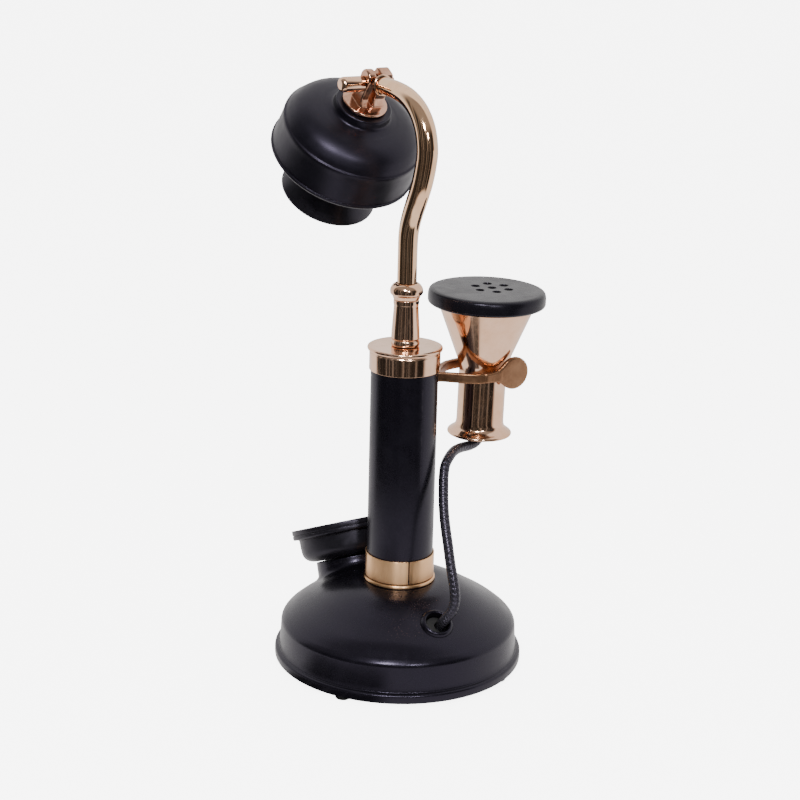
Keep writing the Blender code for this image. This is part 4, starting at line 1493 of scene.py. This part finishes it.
@dataclass
class Dial:
    """The dial: housing, number plate with its digits, finger wheel and finger stop."""

    centre: tuple[float, float, float] = (0, -61.5, 68.5)
    tip: float = 24.0
    finger_circle: float = 24.5
    finger_hole: float = 5.8
    finger_step: float = 30.0
    first_angle: float = 30.0
    stop_angle: float = -30.0

    def frame(self) -> Matrix:
        """The dial's place: Z out of its face."""
        return Matrix.Translation(self.centre) @ Matrix.Rotation(math.radians(self.tip), 4, "X")

    def housing(self) -> None:
        """Turn the housing: a rim with a groove, the cup and its rounded underside."""
        place = self.frame()
        under = flow(
            ((24.0, -22.2), (26.4, -21.8), (28.8, -20.9), (31.0, -19.0), (32.1, -16.4), (32.4, -13.0)), 5
        )
        rim = rounded(
            ((32.5, -7.3), (33.2, -6.9, 0.4), (35.5, -6.8, 0.6), (36.0, -6.0, 0.5), (36.0, -4.3, 0.2),
             (35.6, -4.0), (35.6, -3.7), (36.0, -3.4, 0.2), (36.0, -1.2, 0.5), (35.4, -0.6, 0.3),
             (34.3, -0.6)), 4
        )
        inside = [(34.3, -5.8), (30.6, -5.8), (30.6, -14.6), (28.6, -17.4), (24.0, -19.0), (16.0, -19.4),
                  (16.0, -31.0), (18.9, -31.0), (18.9, -22.2)]
        housing = turned("dial_cup", under + rim + inside, place, closed=True, segments=144)
        turn = place @ Matrix.Rotation(math.radians(self.stop_angle), 4, "Z")
        gap = ((33.0, -3.0), (38.0, -3.0), (38.0, 3.0), (33.0, 3.0))
        carve(housing, [prism("tool_notch", gap, -1.7, 1.0, turn)])
        dress(housing, Moulded(smooth=0.30, dull=0.44).make("dial_ebonite", place), "base", "plastic_black",
              "dial_housing")

    def plate(self) -> None:
        """Turn the number plate and print its digits under the finger holes."""
        place = self.frame()
        outline = rounded(((4.0, -5.4), (33.9, -5.4, 0.1), (33.9, -4.25, 0.3), (4.0, -4.25)), 3)
        plate = turned("digit_plate", outline, place, closed=True, segments=96)
        digits = []
        for index in range(10):
            deselect()
            bpy.ops.object.text_add(location=(0, 0, 0))
            digit = bpy.context.object
            digit.data.body = str((index + 1) % 10)
            digit.data.size = 8.2 * MM
            digit.data.align_x = "CENTER"
            digit.data.align_y = "CENTER"
            digit.data.extrude = 0.03 * MM
            bpy.ops.object.convert(target="MESH")
            digit = bpy.context.object
            spot = at(self.finger_circle, self.first_angle + self.finger_step * index, -4.23)
            digits.append(settle(digit, f"tool_digit_{index}", place @ spot))
        printed = joined("plate_digits", digits)
        dress(printed, Moulded(colour=(0.012, 0.012, 0.013)).make("digit_ink"), "base", "plastic_black")
        dress(plate, Plate().make("plate_print"), "base", "plate_ivory", "number_plate")

    def wheel(self) -> None:
        """Turn the finger wheel, cut its holes and add the centre disc."""
        place = self.frame()
        outline = rounded(
            ((1.9, -3.2), (33.4, -3.2, 0.3), (33.8, -2.6, 0.4), (33.6, -1.9, 0.3), (32.8, -1.7, 0.3),
             (1.9, -1.7)), 4
        )
        wheel = turned("dialling_wheel", outline, place, closed=True, segments=144)
        cutter = ((6.4, -6.0), (6.2, -3.5), (5.8, -3.0), (5.8, -2.1), (6.0, -1.8), (6.6, -1.3), (7.0, 1.0))
        tools = []
        for n in range(10):
            spot = at(self.finger_circle, self.first_angle + self.finger_step * n)
            tools.append(turned(f"tool_finger_{n}", cutter, place @ spot, segments=56))
        carve(wheel, tools)
        dress(wheel, Metal.MIRROR.make("wheel_brass", place), "dial", "brass_polished", "finger_wheel")
        dome = rounded(
            ((11.9, -1.4), (12.4, -1.35, 0.1), (12.4, -1.05, 0.2), (11.2, -0.72, 0.6), (9.2, -0.72, 0.2),
             (8.9, -0.85, 0.1), (8.5, -0.85, 0.1), (8.2, -0.7, 0.1), (0.4, -0.6)), 4
        )
        centre = turned("centre_disc", dome, place, segments=96)
        dress(centre, Metal.MIRROR.make("centre_brass", place), "dial", "brass_polished", "dial_centre")

    def stop(self) -> None:
        """Shape the finger stop and finish the works inside the housing."""
        place = self.frame()
        turn = place @ Matrix.Rotation(math.radians(self.stop_angle), 4, "Z")
        blade = flow(((35.9, 2.6), (33.6, 2.5), (28.0, 1.6), (22.0, 1.1), (18.6, 1.0)), 4)
        tip = [(17.7, 0.6), (17.4, 0.0), (17.7, -0.6)]
        outline = blade + tip + [(x, -y) for x, y in reversed(blade)]
        stop = prism("stop_blade", outline, -1.4, -0.6, turn, bevel=0.25)
        dress(stop, Metal.STEEL.make("stop_steel"), "base", "steel_plain", "finger_stop")
        for node in ("dial_shaft", "dial_bearing", "dial_frame", "dial_governor"):
            redress(node, Metal.STEEL.make(node + "_steel", place))
        redress("dial_gear", Metal.FORK.make("gear_brass", place))


# ---- Studio -----------------------------------------------------------------------------------------


@dataclass
class Studio:
    """The pale floor, the soft lights and the camera."""

    camera_place: tuple[float, float, float] = (0.5561, 0.8563, 0.4706)
    camera_forward: tuple[float, float, float] = (-0.5216, -0.8032, -0.2879)
    roll: float = 1.51
    lens: float = 81.5
    paper_glow: float = 6.0
    patch: float = 1.35
    tent: float = 1.25
    ceiling: float = 0.30

    @property
    def front(self) -> float:
        """The bearing of the camera seen from the telephone, in radians."""
        return math.atan2(self.camera_place[1], self.camera_place[0])

    def camera(self) -> None:
        """Place the camera."""
        data = bpy.data.cameras.new("camera")
        data.lens = self.lens
        data.sensor_width = 36.0
        data.shift_x = -0.0047
        camera = bpy.data.objects.new("camera", data)
        bpy.context.scene.collection.objects.link(camera)
        aim = Vector(self.camera_forward).to_track_quat("-Z", "Y").to_matrix().to_4x4()
        roll = Matrix.Rotation(math.radians(self.roll), 4, "Z")
        camera.matrix_world = Matrix.Translation(self.camera_place) @ aim @ roll
        bpy.context.scene.camera = camera

    def floor(self) -> None:
        """Lay the floor."""
        deselect()
        bpy.ops.mesh.primitive_grid_add(x_subdivisions=8, y_subdivisions=8, size=14.0, location=(0, 0, 0))
        floor = bpy.context.object
        floor.name = "floor"
        look = Palette("floor_paper")
        grain = noise(look.tree, look.vector, 900.0, detail=3.0, roughness=0.6)
        look.feed("Base Color", look.mix(grain, (0.86, 0.86, 0.865), (0.90, 0.90, 0.905)))
        look.fix(Roughness=0.7)
        path = look.tree.nodes.new("ShaderNodeLightPath")
        look.shader.inputs["Emission Color"].default_value = (1.0, 1.0, 1.0, 1.0)
        glow = math_node(look.tree, "MULTIPLY", path.outputs["Is Camera Ray"], self.paper_glow)
        look.feed("Emission Strength", glow)
        self.mirrored(look, path.outputs["Is Glossy Ray"])
        floor.data.materials.append(look.material)

    def gloom(self, tree: Tree, angle: object, scale: float) -> object:
        """Make the uneven dark of the room's open side: a few pale streaks over near black.

        Args:
            tree: The tree that gets the nodes.
            angle: The socket with the bearing, in radians.
            scale: How fine the streaks are.

        Returns:
            The socket with the brightness.
        """
        strips = tree.nodes.new("ShaderNodeCombineXYZ")
        tree.links.new(math_node(tree, "SINE", angle), strips.inputs["X"])
        grain = noise(tree, strips.outputs["Vector"], scale, detail=3.0, roughness=0.6)
        streak = spread(tree, grain, 0.47, 0.66)
        return math_node(tree, "MULTIPLY_ADD", streak, 0.34, 0.025)

    def mirrored(self, look: Palette, glossy: object) -> None:
        """Give the floor, as shiny pieces see it, a bright patch round the telephone and a dark open front.

        Args:
            look: The floor's material.
            glossy: One for a ray that comes from a shiny surface.
        """
        tree = look.tree
        place = tree.nodes.new("ShaderNodeTexCoord")
        split = tree.nodes.new("ShaderNodeSeparateXYZ")
        tree.links.new(place.outputs["Object"], split.inputs["Vector"])
        reach = tree.nodes.new("ShaderNodeVectorMath")
        reach.operation = "LENGTH"
        tree.links.new(place.outputs["Object"], reach.inputs[0])
        bearing = math_node(tree, "ARCTAN2", split.outputs["Y"], split.outputs["X"])
        angle = math_node(tree, "SUBTRACT", bearing, self.front - 0.30)
        far_dark = spread(tree, math_node(tree, "COSINE", angle), -0.02, 0.22)
        side = math_node(tree, "COSINE", math_node(tree, "SUBTRACT", bearing, self.front - 0.62))
        near = math_node(tree, "SUBTRACT", 1.0, spread(tree, reach.outputs["Value"], 0.132, 0.146))
        near_dark = math_node(tree, "MULTIPLY", spread(tree, side, 0.82, 0.93), near)
        far = spread(tree, reach.outputs["Value"], 0.235, 0.30)
        dark = math_node(tree, "MULTIPLY", far, far_dark)
        dark = math_node(tree, "MAXIMUM", dark, math_node(tree, "MULTIPLY", near_dark, 0.96))
        light = math_node(tree, "MULTIPLY", math_node(tree, "SUBTRACT", 1.0, dark), self.patch)
        light = math_node(tree, "ADD", light, math_node(tree, "MULTIPLY", dark, self.gloom(tree, angle, 7.0)))
        shine = tree.nodes.new("ShaderNodeEmission")
        shine.inputs["Color"].default_value = (1.0, 0.97, 0.96, 1.0)
        tree.links.new(light, shine.inputs["Strength"])
        mix = tree.nodes.new("ShaderNodeMixShader")
        tree.links.new(glossy, mix.inputs["Fac"])
        tree.links.new(look.shader.outputs["BSDF"], mix.inputs[1])
        tree.links.new(shine.outputs["Emission"], mix.inputs[2])
        out = next(node for node in tree.nodes if node.type == "OUTPUT_MATERIAL")
        tree.links.new(mix.outputs["Shader"], out.inputs["Surface"])

    def light(self, name: str, place: Sequence[float], size: tuple[float, float], power: float,
              target: Sequence[float] = (0, 0, 0.18)) -> None:
        """Add a soft rectangular light.

        Args:
            name: The light's name.
            place: Where it stands, in metres.
            size: Its width and height.
            power: Its power in watts.
            target: The place it faces.
        """
        data = bpy.data.lights.new(name, "AREA")
        data.shape = "RECTANGLE"
        data.size, data.size_y = size
        data.energy = power
        lamp = bpy.data.objects.new(name, data)
        bpy.context.scene.collection.objects.link(lamp)
        lamp.location = place
        lamp.rotation_euler = (Vector(target) - Vector(place)).to_track_quat("-Z", "Y").to_euler()

    def world(self) -> None:
        """Fill the room as a light tent does, with an open dark front; the camera sees plain white."""
        world = bpy.data.worlds.new("room")
        bpy.context.scene.world = world
        world.use_nodes = True
        tree = world.node_tree
        tree.nodes.clear()
        out = tree.nodes.new("ShaderNodeOutputWorld")
        mix = tree.nodes.new("ShaderNodeMixShader")
        seen = tree.nodes.new("ShaderNodeBackground")
        seen.inputs["Color"].default_value = (1, 1, 1, 1)
        seen.inputs["Strength"].default_value = 7.0
        room = tree.nodes.new("ShaderNodeBackground")
        place = tree.nodes.new("ShaderNodeTexCoord")
        split = tree.nodes.new("ShaderNodeSeparateXYZ")
        tree.links.new(place.outputs["Generated"], split.inputs["Vector"])
        bearing = math_node(tree, "ARCTAN2", split.outputs["Y"], split.outputs["X"])
        angle = math_node(tree, "SUBTRACT", bearing, self.front - 0.24)
        toward = math_node(tree, "COSINE", angle)
        dark = spread(tree, toward, -0.12, 0.16)
        gloom = self.gloom(tree, angle, 5.0)
        high = spread(tree, split.outputs["Z"], 0.30, 0.70)
        gloom = math_node(tree, "MAXIMUM", gloom, math_node(tree, "MULTIPLY", high, self.ceiling))
        wall = math_node(tree, "SUBTRACT", 1.0, dark)
        shade = math_node(tree, "ADD", wall, math_node(tree, "MULTIPLY", dark, gloom))
        tree.links.new(shade, room.inputs["Strength"])
        room.inputs["Color"].default_value = (self.tent, self.tent * 0.98, self.tent * 0.97, 1)
        path = tree.nodes.new("ShaderNodeLightPath")
        tree.links.new(path.outputs["Is Camera Ray"], mix.inputs["Fac"])
        tree.links.new(room.outputs["Background"], mix.inputs[1])
        tree.links.new(seen.outputs["Background"], mix.inputs[2])
        tree.links.new(mix.outputs["Shader"], out.inputs["Surface"])

    def build(self) -> None:
        """Set up the camera, floor, lights and room."""
        self.camera()
        self.floor()
        self.world()
        self.light("key", (0.80, 0.85, 1.15), (0.30, 0.30), 17.0)
        self.light("second", (0.35, 1.25, 0.85), (0.16, 0.22), 6.0)


def main() -> None:
    """Build the telephone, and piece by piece."""
    logging.basicConfig(level=logging.INFO, format="%(message)s")
    studio = Studio()
    studio.build()
    ReceiverCord().lay()
    dial = Dial()
    base = Base()
    base.shell(dial.frame())
    base.fittings()
    column = Column()
    steps: tuple[Callable[[], None], ...] = (column.tube, column.rings, column.cap, column.post)
    for step in steps:
        step()
    arm = Arm()
    arm.tube()
    arm.knuckle()
    head = Transmitter()
    head.bracket()
    head.shell()
    head.mouthpiece()
    hook = Hook()
    hook.fork()
    hook.inner_pieces()
    receiver = Receiver()
    receiver.bell()
    receiver.ear_cap()
    dial.housing()
    dial.plate()
    dial.wheel()
    dial.stop()
    deselect()


if __name__ == "__main__":
    main()
